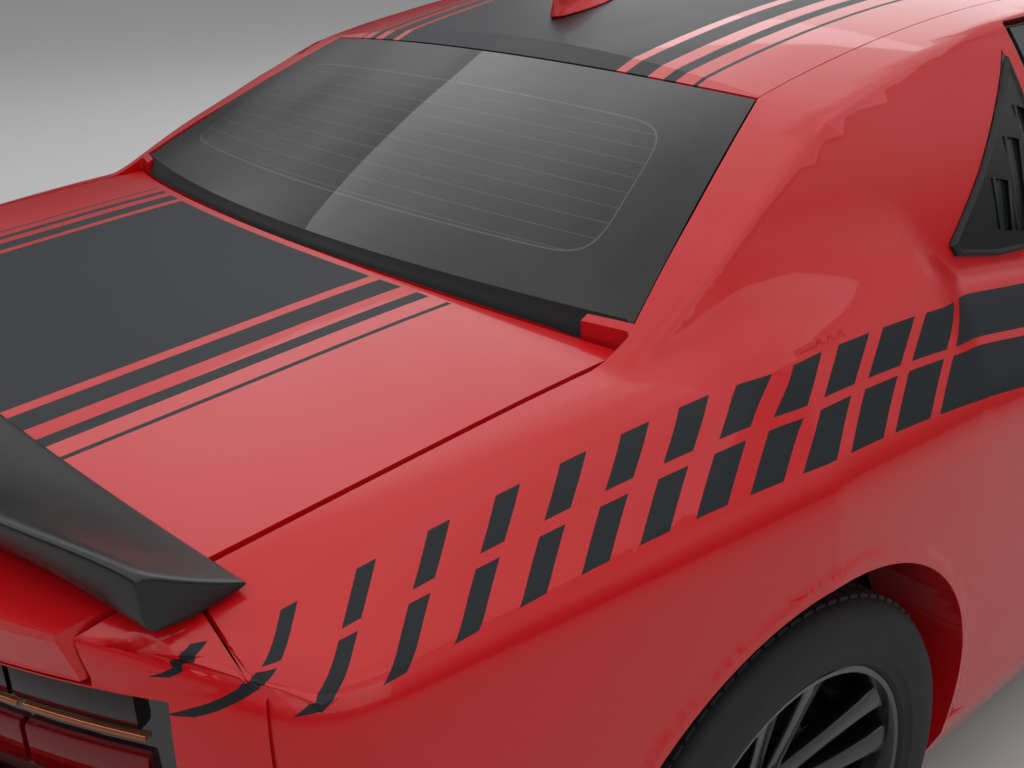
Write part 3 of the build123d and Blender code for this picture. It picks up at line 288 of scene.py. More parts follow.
def lacquered(name, mask_rows):
    """Red enamel under lacquer, with matt film where the mask is one."""
    return new_material(name, mask_rows + [
        ("flake", "TexVoronoi", {}, {"Vector": "place:Object", "Scale": 1500.0}),
        ("cloud", "TexNoise", {}, {"Vector": "place:Object", "Scale": 3.0, "Detail": 2.0}),
        ("film_grain", "TexNoise", {}, {"Vector": "place:Object", "Scale": 700.0, "Detail": 2.0}),
        ("red", "Mix", {"data_type": "RGBA"}, {0: "flake", 6: linear(RED[0]), 7: linear(RED[1])}),
        ("film", "Mix", {"data_type": "RGBA"}, {0: "film_grain", 6: linear(FILM[0]), 7: linear(FILM[1])}),
        ("colour", "Mix", {"data_type": "RGBA"}, {0: "mask", 6: "red:2", 7: "film:2"}),
        ("gloss", "MapRange", {}, {0: "cloud", 1: 0.3, 2: 0.7, 3: 0.24, 4: 0.30}),
        ("roughness", "Mix", {}, {0: "mask", 2: "gloss", 3: 0.46}),
        ("lacquer", "Mix", {}, {0: "mask", 2: 0.55, 3: 0.06}),
        ("peel", "TexNoise", {}, {"Vector": "place:Object", "Scale": 160.0, "Detail": 1.0}),
        ("bump", "Bump", {}, {"Height": "peel", "Strength": 0.05, "Distance": 0.0004}),
        ("shader", "BsdfPrincipled", {}, {
            "Base Color": "colour:2", "Roughness": "roughness", "Coat Weight": "lacquer", "Coat Roughness": 0.03,
            "Normal": "bump", "IOR": 1.45, "Specular IOR Level": 0.25}),
    ])


FLANK_PAINT = lacquered("enamel_red_lacquered_flank_film", flank_mask())
TOP_PAINT = lacquered("enamel_red_lacquered_top_film", centre_mask())
print("painted materials", FLANK_PAINT.name, TOP_PAINT.name)

# %% [markdown]
# ## Glass
# Side and front glass is lightly tinted float glass. The rear window is darker, has a black ceramic border printed along
# its edge, a rounded frame line and thin baked heating wires. The print is part of the glass, so it is a mask in the
# material, worked out from the window's own edges.

# %% Glass
def tinted(name, tint, weight):
    """Clear tinted glass with a trace of haze."""
    return new_material(name, [
        ("place", "TexCoord", {}, {}),
        ("haze", "TexNoise", {}, {"Vector": "place:Object", "Scale": 4.0, "Detail": 2.0}),
        ("roughness", "MapRange", {}, {0: "haze", 1: 0.3, 2: 0.7, 3: 0.0, 4: 0.02}),
        ("shader", "BsdfPrincipled", {}, {
            "Base Color": linear(tint), "Roughness": "roughness", "Transmission Weight": weight, "IOR": 1.45}),
    ])


SIDE_GLASS = tinted("float_glass_tinted", "7C8582", 0.94)
FRONT_GLASS = tinted("laminated_glass", "B4BDBA", 0.97)
LENS_RED = tinted("acrylic_red", "A00A12", 0.55)
LENS_SMOKED = tinted("acrylic_smoked", "2A1416", 0.7)
LENS_AMBER = tinted("acrylic_amber", "C4620E", 0.5)

# Corners of the rear window in plan, in metres: lower corner and middle, upper corner and middle
LOW_CORNER, LOW_MIDDLE, HIGH_CORNER, HIGH_MIDDLE = (-1.493, 0.701), -1.599, (-1.095, 0.557), -1.137
SIDE_SLOPE = (HIGH_CORNER[1] - LOW_CORNER[1]) / (HIGH_CORNER[0] - LOW_CORNER[0])
BORDER_SIDE, BORDER_LOW, BORDER_HIGH = 0.058, 0.034, 0.045
WIRES, WIRE_SHARE = 15, 0.035
REAR_GLASS = new_material("float_glass_printed_border", [
    ("place", "TexCoord", {}, {}),
    ("axes", "SeparateXYZ", {}, {0: "place:Object"}),
    ("side", "Math", {"operation": "ABSOLUTE"}, {0: "axes:Y"}),
    ("line", "Math", {"operation": "MULTIPLY_ADD"}, {0: "axes:X", 1: SIDE_SLOPE, 2: LOW_CORNER[1] - SIDE_SLOPE * LOW_CORNER[0]}),
    ("square", "Math", {"operation": "POWER"}, {0: "side", 1: 2.0}),
    ("low", "Math", {"operation": "MULTIPLY_ADD"}, {0: "square", 1: (LOW_CORNER[0] - LOW_MIDDLE) / LOW_CORNER[1] ** 2, 2: LOW_MIDDLE}),
    ("high", "Math", {"operation": "MULTIPLY_ADD"}, {0: "square", 1: (HIGH_CORNER[0] - HIGH_MIDDLE) / HIGH_CORNER[1] ** 2, 2: HIGH_MIDDLE}),
    ("from_side", "Math", {"operation": "SUBTRACT"}, {0: "line", 1: "side"}),
    ("from_low", "Math", {"operation": "SUBTRACT"}, {0: "axes:X", 1: "low"}),
    ("from_high", "Math", {"operation": "SUBTRACT"}, {0: "high", 1: "axes:X"}),
    ("side_in", "Math", {"operation": "SUBTRACT"}, {0: "from_side", 1: BORDER_SIDE}),
    ("low_in", "Math", {"operation": "SUBTRACT"}, {0: "from_low", 1: BORDER_LOW}),
    ("high_in", "Math", {"operation": "SUBTRACT"}, {0: "from_high", 1: BORDER_HIGH}),
    ("ends", "Math", {"operation": "SMOOTH_MIN"}, {0: "low_in", 1: "high_in", 2: 0.05}),
    ("inner", "Math", {"operation": "SMOOTH_MIN"}, {0: "ends", 1: "side_in", 2: 0.10}),
    ("print", "Math", {"operation": "LESS_THAN"}, {0: "inner", 1: 0.0}),
    ("frame_off", "Math", {"operation": "SUBTRACT"}, {0: "inner", 1: 0.050}),
    ("frame_near", "Math", {"operation": "ABSOLUTE"}, {0: "frame_off"}),
    ("frame_line", "Math", {"operation": "LESS_THAN"}, {0: "frame_near", 1: 0.0012}),
    ("height", "Math", {"operation": "SUBTRACT"}, {0: "high", 1: "low"}),
    ("share", "Math", {"operation": "DIVIDE"}, {0: "from_low", 1: "height"}),
    ("steps", "Math", {"operation": "MULTIPLY"}, {0: "share", 1: float(WIRES)}),
    ("step", "Math", {"operation": "FRACT"}, {0: "steps"}),
    ("on_wire", "Math", {"operation": "LESS_THAN"}, {0: "step", 1: WIRE_SHARE}),
    ("in_frame", "Math", {"operation": "GREATER_THAN"}, {0: "frame_off", 1: 0.0}),
    ("wires", "Math", {"operation": "MULTIPLY"}, {0: "on_wire", 1: "in_frame"}),
    ("lines", "Math", {"operation": "MAXIMUM"}, {0: "wires", 1: "frame_line"}),
    ("printed", "Math", {"operation": "MAXIMUM"}, {0: "print", 1: "lines"}),
    ("clear", "Math", {"operation": "SUBTRACT"}, {0: 1.0, 1: "printed"}),
    ("through", "Math", {"operation": "MULTIPLY"}, {0: "clear", 1: 0.8}),
    ("ink", "Mix", {"data_type": "RGBA"}, {0: "print", 6: linear("4A4946"), 7: linear("08090A")}),
    ("colour", "Mix", {"data_type": "RGBA"}, {0: "printed", 6: linear("1E2324"), 7: "ink:2"}),
    ("shader", "BsdfPrincipled", {}, {"Base Color": "colour:2", "Roughness": 0.02, "Transmission Weight": "through", "IOR": 1.5}),
])
print("glass", REAR_GLASS.name)

# %% [markdown]
# ## Tyre rubber and seat leather
# Tyre rubber is nearly black, dull, and a little brown with road dust on the sidewall. Seat leather has pebbles about a
# millimetre across and pores between them.

# %% Tyre rubber and seat leather
TYRE_RUBBER = grained("tyre_rubber_vulcanised", "101010", "1D1C1B", (0.62, 0.8), 2.0, 0.12)
SEAT_LEATHER = new_material("leather_pigmented", [
    ("place", "TexCoord", {}, {}),
    ("pebbles", "TexVoronoi", {}, {"Vector": "place:Object", "Scale": 420.0}),
    ("cloud", "TexNoise", {}, {"Vector": "place:Object", "Scale": 12.0, "Detail": 3.0}),
    ("tone", "Mix", {"data_type": "RGBA"}, {0: "cloud", 6: linear("141314"), 7: linear("242223")}),
    ("roughness", "MapRange", {}, {0: "cloud", 1: 0.3, 2: 0.7, 3: 0.42, 4: 0.58}),
    ("bump", "Bump", {}, {"Height": "pebbles", "Strength": 0.4, "Distance": 0.0006}),
    ("shader", "BsdfPrincipled", {}, {"Base Color": "tone:2", "Roughness": "roughness", "Normal": "bump", "IOR": 1.48}),
])
print("rubber and leather", TYRE_RUBBER.name, SEAT_LEATHER.name)

# %% [markdown]
# ## Dressing the panels
# A panel whose solid shape is right keeps it, and takes the finish of the real one. Each row names the finish and the
# panels that have it.

# %% Dressing the panels
FINISHES = (
    (TOP_PAINT, ("hood", "trunk_lid", "roof_panel", "front_fascia", "rear_shelf")),
    (FLANK_PAINT, ("door_left", "door_right", "body_side_left", "body_side_right", "fender_left", "fender_right", "rear_fascia",
                   "mirror_left", "mirror_right")),
    (SATIN_ABS, ("spoiler", "cowl")),
    (GRAINED_ABS, ("rear_valance", "grille", "console")),
    (FRONT_GLASS, ("windscreen",)),
    (REAR_GLASS, ("rear_window",)),
    (SIDE_GLASS, ("quarter_windows", "door_glass_left", "door_glass_right")),
    (UNDERSEAL, ("underbody", "front_liners", "fuel_tank")),
    (CARPET, ("trunk_floor", "shelf_floor")),
    (CAST_ALUMINIUM, ("engine", "radiator")),
    (RAW_STEEL, ("drive_shaft", "front_suspension", "rear_suspension", "knuckle_front_left", "knuckle_front_right")),
    (POLISHED_STEEL, ("exhaust",)),
    (SOFT_SKIN, ("dashboard",)),
    (LAMP_BLACK, ("tail_lamps", "headlamps")),
    (SEAT_LEATHER, ("rear_seat", "front_seats", "steering_wheel")),
    (TYRE_RUBBER, tuple(n for n in frame["nodes"] if n.startswith("tyre_"))),
    (BLACK_ENAMEL, tuple(n for n in frame["nodes"] if n.startswith("rim_"))),
    (FLANK_PAINT, ("antenna_fin",)),
)
for finish, names in FINISHES:
    for node_name in names:
        slots = frame["nodes"][node_name].data.materials
        slots.clear()
        slots.append(finish)
dressed = {n for _, names in FINISHES for n in names}
print("dressed", len(dressed), "of", len(frame["nodes"]), "left plain:", sorted(set(frame["nodes"]) - dressed))

# %% [markdown]
# ## Making pieces
# Every new piece starts in a bmesh. One function closes it, points its faces outwards, makes it an object, and says which
# body carries it. Another one makes the twin on the other side of the car.

# %% Making pieces
def finish_piece(bm, name, body, material, slot, stands_for=(), sharp=35.0, smooth_levels=0):
    """Turns a bmesh into a piece of the car."""
    bmesh.ops.remove_doubles(bm, verts=bm.verts, dist=1e-5)
    bmesh.ops.recalc_face_normals(bm, faces=bm.faces)
    mesh = bpy.data.meshes.new(name)
    bm.to_mesh(mesh)
    bm.free()
    return place_piece(mesh, name, body, material, slot, stands_for, sharp, smooth_levels)


def place_piece(mesh, name, body, material, slot, stands_for=(), sharp=35.0, smooth_levels=0):
    """Makes a mesh that is in its place a piece that rides on a body."""
    mesh.shade_smooth()
    mesh.set_sharp_from_angle(angle=math.radians(sharp))
    mesh.materials.clear()
    mesh.materials.append(material)
    piece = bpy.data.objects.new(name, mesh)
    bpy.context.scene.collection.objects.link(piece)
    if smooth_levels:
        subdivision = piece.modifiers.new("subdivision", "SUBSURF")
        subdivision.levels = subdivision.render_levels = smooth_levels
    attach(piece, body)
    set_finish(piece, slot)
    if stands_for:
        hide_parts(*stands_for)
    return piece


def twin(piece, name, body, stands_for=()):
    """The same piece on the car's other side."""
    bm = bmesh.new()
    bm.from_mesh(piece.data)
    bmesh.ops.scale(bm, vec=(1, -1, 1), verts=bm.verts)
    bmesh.ops.reverse_faces(bm, faces=bm.faces)
    mesh = bpy.data.meshes.new(name)
    bm.to_mesh(mesh)
    bm.free()
    other = place_piece(mesh, name, body, piece.data.materials[0], piece["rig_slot"], stands_for)
    for modifier in piece.modifiers:
        copy = other.modifiers.new(modifier.name, modifier.type)
        copy.levels = copy.render_levels = modifier.levels
    return other


def add_box(bm, size, place, turn=None, bevel=0.0):
    """Adds a box with rounded edges, its middle at place."""
    made = bmesh.ops.create_cube(bm, size=1.0)["verts"]
    bmesh.ops.scale(bm, vec=size, verts=made)
    if bevel:
        edges = list({e for v in made for e in v.link_edges})
        made = list({v for f in bmesh.ops.bevel(
            bm, geom=edges, offset=bevel, offset_type="OFFSET", segments=2, profile=0.5, affect="EDGES", material=-1)["faces"]
            for v in f.verts} | {v for v in made if v.is_valid})
    if turn is not None:
        bmesh.ops.transform(bm, matrix=turn, verts=made)
    bmesh.ops.translate(bm, vec=place, verts=made)
    return made


def spin_profile(bm, points, steps, axis=(0, 1, 0), closed=True):
    """Spins a profile of (radius, place along the axis) points about the Y axis through the origin."""
    verts = [bm.verts.new((radius, along, 0)) for radius, along in points]
    edges = [bm.edges.new(pair) for pair in zip(verts, verts[1:] + (verts[:1] if closed else []))]
    bmesh.ops.spin(bm, geom=verts + edges, cent=(0, 0, 0), axis=axis, dvec=(0, 0, 0), angle=2 * math.pi, steps=steps, use_merge=True)


# %% [markdown]
# ## Sheet metal with soft corners
# The solid panels meet in sharp corners, while a pressed panel turns through a radius: the crease along the flank, the
# shoulder, the tail's corner and, widest of all, the hollow that carries the roof pillar into the shoulder. One distance
# function describes the whole body: it is negative inside, zero on the surface and positive outside. Taking the smooth
# larger of two distances rounds a corner, and taking the smooth smaller of two fills a hollow. Each panel's mesh is
# copied, made finer near such a corner, and its outer points are moved on to the smooth surface. The same function gives
# each point's normal, so the lacquer mirrors the room without a ripple.

# %% The body's distance function
import numpy as np

NOSE, TAIL = 2.511, -2.511
# Place, half width at the sill, the waist and the crease, height of the crease, half width at the shoulder
FLANK_ROWS = np.array((
    (-2.631, 0.7805, 0.8015, 0.8065, 0.940, 0.7155), (-2.100, 0.8805, 0.9035, 0.9085, 0.948, 0.7715),
    (-1.370, 0.9155, 0.9425, 0.9485, 0.932, 0.8065), (-0.900, 0.9055, 0.9325, 0.9385, 0.900, 0.8085),
    (0.000, 0.8985, 0.9225, 0.9255, 0.880, 0.8125), (0.801, 0.9005, 0.9245, 0.9215, 0.862, 0.8165),
    (1.581, 0.9105, 0.9405, 0.9255, 0.850, 0.8125), (2.151, 0.8765, 0.9005, 0.8805, 0.805, 0.7765),
    (2.631, 0.8165, 0.8405, 0.8205, 0.765, 0.7185)))
SILL_HEIGHT, WAIST_HEIGHT, BAND_BULGE, BAND_RISE = 0.300, 0.600, 0.005, 0.120
# Centre line of the hood, ledge and deck: place, height, rounding length
TOP_ROWS = np.array(((-2.661, 1.015, 0.0), (-1.300, 1.146, 0.45), (-0.450, 1.074, 0.30), (1.051, 1.050, 0.50), (2.201, 0.945, 0.40),
                     (2.661, 0.868, 0.0)))
CROWN_AXIS, NOSE_BOW, TAIL_BOW = -5.0, 2.3, 1.5
NOSE_ROWS = np.array(((0.100, -0.150), (0.175, -0.070), (0.300, -0.018), (0.520, 0.0), (0.640, -0.014), (0.800, -0.042),
                      (0.900, -0.062), (1.050, -0.080)))
TAIL_ROWS = np.array(((0.150, 0.170), (0.260, 0.060), (0.480, 0.0), (0.640, 0.0), (0.725, 0.050), (0.790, 0.088),
                      (0.960, 0.092), (1.005, 0.080), (1.250, 0.095)))
ROOF_AXIS = -2.3
SCREEN = ((0.300, 1.392), (1.026, 0.995))
ROOF = ((-1.085, 1.366), (-0.330, 1.450), (0.300, 1.392))
BACKLIGHT = ((-1.700, 1.068), (-1.085, 1.366))
GLASS_BULGE = 0.012
# The cabin's side is an arc in end view, turned about a far upright axis: the arc's middle and radius, the axis' place
ARC_SIDE, ARC_HEIGHT, ARC_RADIUS, AXIS_SIDE, AXIS_X = -0.10334, 0.82111, 0.92898, -11.182, -0.5


# The fold round each wheel opening stands out a little: the axles' places, the height of their middle, the fold's outer
# and inner radius and how far it stands out
AXLES, AXLE_HEIGHT, FOLD_OUTER, FOLD_INNER, FOLD_STAND = (1.581, -1.370), 0.364, 0.455, 0.441, 0.0045


def arc_side(y1, z1, y2, z2, y3, z3, z):
    """Side place at height z on the outward arc through three points."""
    d = 2 * (y1 * (z2 - z3) + y2 * (z3 - z1) + y3 * (z1 - z2))
    s1, s2, s3 = y1 ** 2 + z1 ** 2, y2 ** 2 + z2 ** 2, y3 ** 2 + z3 ** 2
    cy = (s1 * (z2 - z3) + s2 * (z3 - z1) + s3 * (z1 - z2)) / d
    cz = (s1 * (y3 - y2) + s2 * (y1 - y3) + s3 * (y2 - y1)) / d
    return cy + np.sqrt(np.maximum((y1 - cy) ** 2 + (z1 - cz) ** 2 - (z - cz) ** 2, 0.0))


def rounded_top(x):
    """Height of the body's top on the centre line."""
    z = np.interp(x, TOP_ROWS[:, 0], TOP_ROWS[:, 1])
    slopes = np.diff(TOP_ROWS[:, 1]) / np.diff(TOP_ROWS[:, 0])
    for corner, before, after in zip(TOP_ROWS[1:-1], slopes, slopes[1:]):
        z = z + (after - before) / (4 * corner[2]) * np.maximum(corner[2] - abs(x - corner[0]), 0.0) ** 2
    return z


def larger(a, b, k):
    """The larger of two distances, rounded over a width k."""
    return np.maximum(a, b) + np.maximum(k - abs(a - b), 0.0) ** 2 / (4 * k)


def smaller(a, b, k):
    """The smaller of two distances, rounded over a width k."""
    return np.minimum(a, b) - np.maximum(k - abs(a - b), 0.0) ** 2 / (4 * k)


def step(x, low, high):
    """A smooth step from 0 at low to 1 at high."""
    t = np.clip((x - low) / (high - low), 0.0, 1.0)
    return t * t * (3 - 2 * t)


# Rounding widths: the flank's crease, the shoulder, the tail's and nose's corners, the deck's rear edge
CREASE_WIDTH, SHOULDER_WIDTH, CORNER_WIDTH, EDGE_WIDTH, HOLLOW_WIDTH = 0.030, 0.034, 0.075, 0.016, 0.115


def lower_distance(p, soft):
    """Distance outside the body below the windows."""
    x, side, z = p[:, 0], abs(p[:, 1]), p[:, 2]
    sill, waist, crease, crease_z, shoulder = (np.interp(x, FLANK_ROWS[:, 0], FLANK_ROWS[:, k]) for k in range(1, 6))
    low = side - np.where(z > SILL_HEIGHT, arc_side(sill, SILL_HEIGHT, waist, WAIST_HEIGHT, crease, crease_z, z),
                          sill - 0.045 * (SILL_HEIGHT - z) / 0.11)
    for axle in AXLES:
        low = low - FOLD_STAND * (1 - step(np.hypot(x - axle, z - AXLE_HEIGHT), FOLD_INNER, FOLD_OUTER))
    line = np.interp(x, TOP_ROWS[:, 0], TOP_ROWS[:, 1])
    shoulder_z = np.sqrt((line - CROWN_AXIS) ** 2 - shoulder ** 2) + CROWN_AXIS
    lean = (crease - shoulder) / (shoulder_z - crease_z)
    top_side, top_z = shoulder - lean * BAND_RISE, shoulder_z + BAND_RISE
    band = arc_side(crease, crease_z, (crease + top_side) / 2 + BAND_BULGE, (crease_z + top_z) / 2, top_side, top_z, z)
    high = (side - band) / np.sqrt(1 + lean ** 2)
    lid = np.hypot(z - CROWN_AXIS, side) - (rounded_top(x) - CROWN_AXIS)
    tail_middle, nose_middle = TAIL + TAIL_BOW, NOSE - NOSE_BOW
    tail = np.where(x < tail_middle, np.hypot(x - tail_middle, side) - TAIL_BOW + np.interp(z, TAIL_ROWS[:, 0], TAIL_ROWS[:, 1]), -1.0)
    nose = np.where(x > nose_middle, np.hypot(x - nose_middle, side) - NOSE_BOW - np.interp(z, NOSE_ROWS[:, 0], NOSE_ROWS[:, 1]), -1.0)
    if not soft:
        fold = sum(FOLD_STAND * (1 - step(np.hypot(x - axle, z - AXLE_HEIGHT), FOLD_INNER, FOLD_OUTER)) for axle in AXLES)
        return np.maximum.reduce((low + fold, high, lid, tail, nose)), (low + fold, high, lid, tail, nose)
    flank_side = larger(low, high, CREASE_WIDTH)
    ends = larger(flank_side, np.maximum(tail, nose), CORNER_WIDTH)
    return larger(larger(flank_side, lid, SHOULDER_WIDTH), larger(ends, np.maximum(tail, nose), EDGE_WIDTH), EDGE_WIDTH), None


def cabin_distance(p):
    """Distance outside the cabin above the belt."""
    x, side, z = p[:, 0], abs(p[:, 1]), p[:, 2]
    middle_side = ARC_SIDE + np.sqrt(np.maximum(ARC_RADIUS ** 2 - (z - ARC_HEIGHT) ** 2, 0.0))
    wall = 0.92 * (side - AXIS_SIDE - np.sqrt((middle_side - AXIS_SIDE) ** 2 - (x - AXIS_X) ** 2))
    roof = np.full(len(x), -1.0)
    for (x1, z1), (x2, z2) in (SCREEN, BACKLIGHT):
        t = (x - x1) / (x2 - x1)
        slope = (z2 - z1) / (x2 - x1)
        line = z1 + (z2 - z1) * t + 4 * GLASS_BULGE * math.sqrt(1 + slope ** 2) * t * (1 - t)
        inside = (x >= x1) & (x <= x2)
        roof = np.where(inside, (np.hypot(z - ROOF_AXIS, side) - (line - ROOF_AXIS)) / math.sqrt(1 + slope ** 2), roof)
    curve = np.polyfit([x for x, _ in ROOF], [z for _, z in ROOF], 2)
    inside = (x > ROOF[0][0]) & (x < ROOF[2][0])
    roof = np.where(inside, np.hypot(z - ROOF_AXIS, side) - (np.polyval(curve, x) - ROOF_AXIS), roof)
    away = np.where((x < BACKLIGHT[0][0]) | (x > SCREEN[1][0]), 1.0, -1.0)
    return np.maximum.reduce((wall, roof, away)), (wall, roof)


def body_distance(p, soft, with_cabin):
    """Distance outside the body's outer surface."""
    lower, _ = lower_distance(p, soft)
    if not with_cabin:
        return lower
    cabin, (wall, roof) = cabin_distance(p)
    if not soft:
        return np.minimum(lower, cabin)
    x = p[:, 0]
    width = 0.010 + HOLLOW_WIDTH * step(x, -1.60, -1.34) * (1 - step(x, -1.02, -0.86))
    return smaller(lower, np.maximum(cabin, larger(wall, roof, 0.012)), width)


def slope_of(p, with_cabin, reach=5e-4):
    """Direction in which the smooth distance grows, and how fast, at each point."""
    rates = []
    for axis in range(3):
        shift = np.zeros(3)
        shift[axis] = reach
        rates.append((body_distance(p + shift, True, with_cabin) - body_distance(p - shift, True, with_cabin)) / (2 * reach))
    return np.stack(rates, axis=1)


print("distance at the roof's middle", body_distance(np.array([[-0.33, 0.0, 1.45]]), True, True))

# %% [markdown]
# ### Moving the panels on to the smooth surface
# A copy of a solid panel is merged first, because its triangles are loose. Then the long edges near a rounded corner are
# cut in two until they are short, and each point that lies on the outer surface slides along the distance's slope until
# the smooth distance there is what the sharp one was.

# %% Moving the panels on to the smooth surface
SKIN_DEPTH, FINE_EDGE, COARSE_EDGE = 0.008, 0.016, 0.12


def corner_nearness(p, with_cabin):
    """How near each point is to a rounded corner, as the gap between its two largest distances."""
    _, parts = lower_distance(p, False)
    ordered = np.sort(np.stack(parts), axis=0)
    gap = ordered[-1] - ordered[-2]
    for axle in AXLES:
        gap = np.minimum(gap, 2 * abs(np.hypot(p[:, 0] - axle, p[:, 2] - AXLE_HEIGHT) - FOLD_OUTER))
    if with_cabin:
        cabin, _ = cabin_distance(p)
        gap = np.minimum(gap, 0.3 * abs(ordered[-1] - cabin))
    return gap


def pressed(node_name, with_cabin=False):
    """Replaces a solid panel by the same panel with soft corners."""
    source = frame["nodes"][node_name]
    bm = bmesh.new()
    bm.from_mesh(source.data)
    bmesh.ops.remove_doubles(bm, verts=bm.verts, dist=2e-5)
    for _ in range(7):
        bm.verts.index_update()
        p = np.array([v.co for v in bm.verts])
        outer = body_distance(p, False, with_cabin) > -SKIN_DEPTH
        near = outer & (corner_nearness(p, with_cabin) < 0.05)
        long_edges = []
        for e in bm.edges:
            a, b = e.verts[0].index, e.verts[1].index
            limit = FINE_EDGE if near[a] and near[b] else 3 * FINE_EDGE if near[a] or near[b] else COARSE_EDGE
            if outer[a] and outer[b] and e.calc_length() > limit:
                long_edges.append(e)
        if not long_edges:
            break
        bmesh.ops.subdivide_edges(bm, edges=long_edges, cuts=1)
        bmesh.ops.triangulate(bm, faces=[f for f in bm.faces if len(f.verts) > 3])
    p = np.array([v.co for v in bm.verts])
    sharp = body_distance(p, False, with_cabin)
    target = np.minimum(sharp, 0.0)
    moving = sharp > -SKIN_DEPTH
    for _ in range(12):
        grow = slope_of(p, with_cabin)
        off = body_distance(p, True, with_cabin) - target
        p = p - np.where(moving, off, 0.0)[:, None] * grow / np.maximum((grow ** 2).sum(axis=1), 0.2)[:, None]
    for v, place in zip(bm.verts, p):
        v.co = place
    bmesh.ops.dissolve_degenerate(bm, dist=1e-6, edges=bm.edges)
    bmesh.ops.triangulate(bm, faces=[f for f in bm.faces if len(f.verts) > 3])
    mesh = bpy.data.meshes.new(node_name)
    bm.to_mesh(mesh)
    bm.free()
    piece = place_piece(mesh, "pressed_" + node_name, source["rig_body"], source.data.materials[0], "body_paint", (node_name,))
    p = np.array([v.co for v in mesh.vertices])
    grow = slope_of(p, with_cabin)
    grow /= np.maximum(np.linalg.norm(grow, axis=1), 1e-6)[:, None]
    on_skin = body_distance(p, True, with_cabin) > -0.0025
    normals = []
    for face in mesh.polygons:
        flat = np.array(face.normal)
        for vertex in face.vertices:
            normals.append(grow[vertex] if on_skin[vertex] and grow[vertex] @ flat > 0.5 else flat)
    mesh.shade_smooth()
    mesh.normals_split_custom_set(normals)
    print(piece.name, len(mesh.polygons), "faces, moved up to", round(float(abs(off).max()) * 1000, 2), "mm from the target")
    return piece


PRESSED = (("body_side_left", True), ("body_side_right", True), ("rear_fascia", False), ("front_fascia", False), ("fender_left", False),
           ("fender_right", False), ("door_left", False), ("door_right", False))
for node_name, with_cabin in PRESSED:
    pressed(node_name, with_cabin)

# %% [markdown]
# ## Tyres
# A low-profile road tyre has flat shoulders, a bulged sidewall with moulded rings, and five ribs of blocks. The profile is
# spun about the axle. The ribs' faces are then inset one by one and raised, which leaves the grooves between the blocks.

# %% Tyres
WHEELS = {"front_left": (1.581, 1), "front_right": (1.581, -1), "rear_left": (-1.370, 1), "rear_right": (-1.370, -1)}
TYRE_RADIUS, WHEEL_SIDE, TREAD_DEPTH = 0.364, 0.8075, 0.0065
SIDEWALL = ((0.2625, 0.111), (0.268, 0.1165), (0.280, 0.1195), (0.284, 0.1225), (0.300, 0.1238), (0.318, 0.1248), (0.322, 0.1238),
            (0.334, 0.1225), (0.346, 0.1175), (0.3535, 0.109), (0.3572, 0.098))
RIBS = (0.098, 0.062, 0.022, -0.022, -0.062, -0.098)
wheel_middle = {name: Vector((x, sign * WHEEL_SIDE, TYRE_RADIUS)) for name, (x, sign) in WHEELS.items()}
bm = bmesh.new()
base_radius = TYRE_RADIUS - TREAD_DEPTH
profile = [*SIDEWALL[:-1], *[(base_radius, y) for y in RIBS], *[(r, -y) for r, y in reversed(SIDEWALL[:-1])], (0.277, -0.07), (0.277, 0.07)]
spin_profile(bm, profile, 84)
bmesh.ops.remove_doubles(bm, verts=bm.verts, dist=1e-5)
bmesh.ops.recalc_face_normals(bm, faces=bm.faces)
ribs = [f for f in bm.faces if math.hypot(f.calc_center_median().x, f.calc_center_median().z) > base_radius - 0.002]
bmesh.ops.inset_individual(bm, faces=ribs, thickness=0.0028, depth=0.0, use_even_offset=True)
bmesh.ops.inset_individual(bm, faces=ribs, thickness=0.0006, depth=TREAD_DEPTH - 0.0008, use_even_offset=True)
tyre_mesh = bpy.data.meshes.new("tyre")
bm.to_mesh(tyre_mesh)
bm.free()
for name, (x, sign) in WHEELS.items():
    mesh = tyre_mesh.copy()
    mesh.transform(Matrix.Translation(wheel_middle[name]) @ Matrix.Rotation(0 if sign > 0 else math.pi, 4, "Z"))
    place_piece(mesh, "tread_" + name, "wheel_" + name, TYRE_RUBBER, "tyre", ("tyre_" + name,), sharp=30)
print("tyre faces", len(tyre_mesh.polygons))

# %% [markdown]
# ## Wheels
# The wheels are one casting: a deep barrel, five pairs of spokes that sweep out from the hub to the rim's edge, and a
# centre cap. The barrel and the hub are spun. One spoke is a face extruded along the radius and narrowed on the way, and
# the other nine are turned copies.

# %% Wheels
BARREL = ((0.262, 0.111), (0.2595, 0.1125), (0.252, 0.111), (0.2475, 0.103), (0.245, 0.085), (0.236, 0.06), (0.232, -0.09), (0.250, -0.105),
          (0.256, -0.111), (0.262, -0.111), (0.260, -0.095), (0.242, -0.08), (0.243, 0.055), (0.258, 0.088))
HUB = ((0.0005, 0.066), (0.024, 0.0655), (0.030, 0.063), (0.032, 0.058), (0.056, 0.057), (0.066, 0.054), (0.073, 0.046), (0.076, 0.03),
       (0.076, -0.03), (0.0005, -0.03))
SPOKE_ROWS = ((0.060, 0.020, 0.052, 0.020), (0.095, 0.0185, 0.060, 0.028), (0.135, 0.0175, 0.070, 0.040), (0.175, 0.0185, 0.080, 0.052),
              (0.215, 0.021, 0.090, 0.062), (0.243, 0.0255, 0.097, 0.068), (0.2535, 0.029, 0.099, 0.070))
PAIRS, PAIR_SPREAD = 5, math.radians(17.0)
bm = bmesh.new()
spin_profile(bm, BARREL, 72)
spin_profile(bm, HUB, 40)
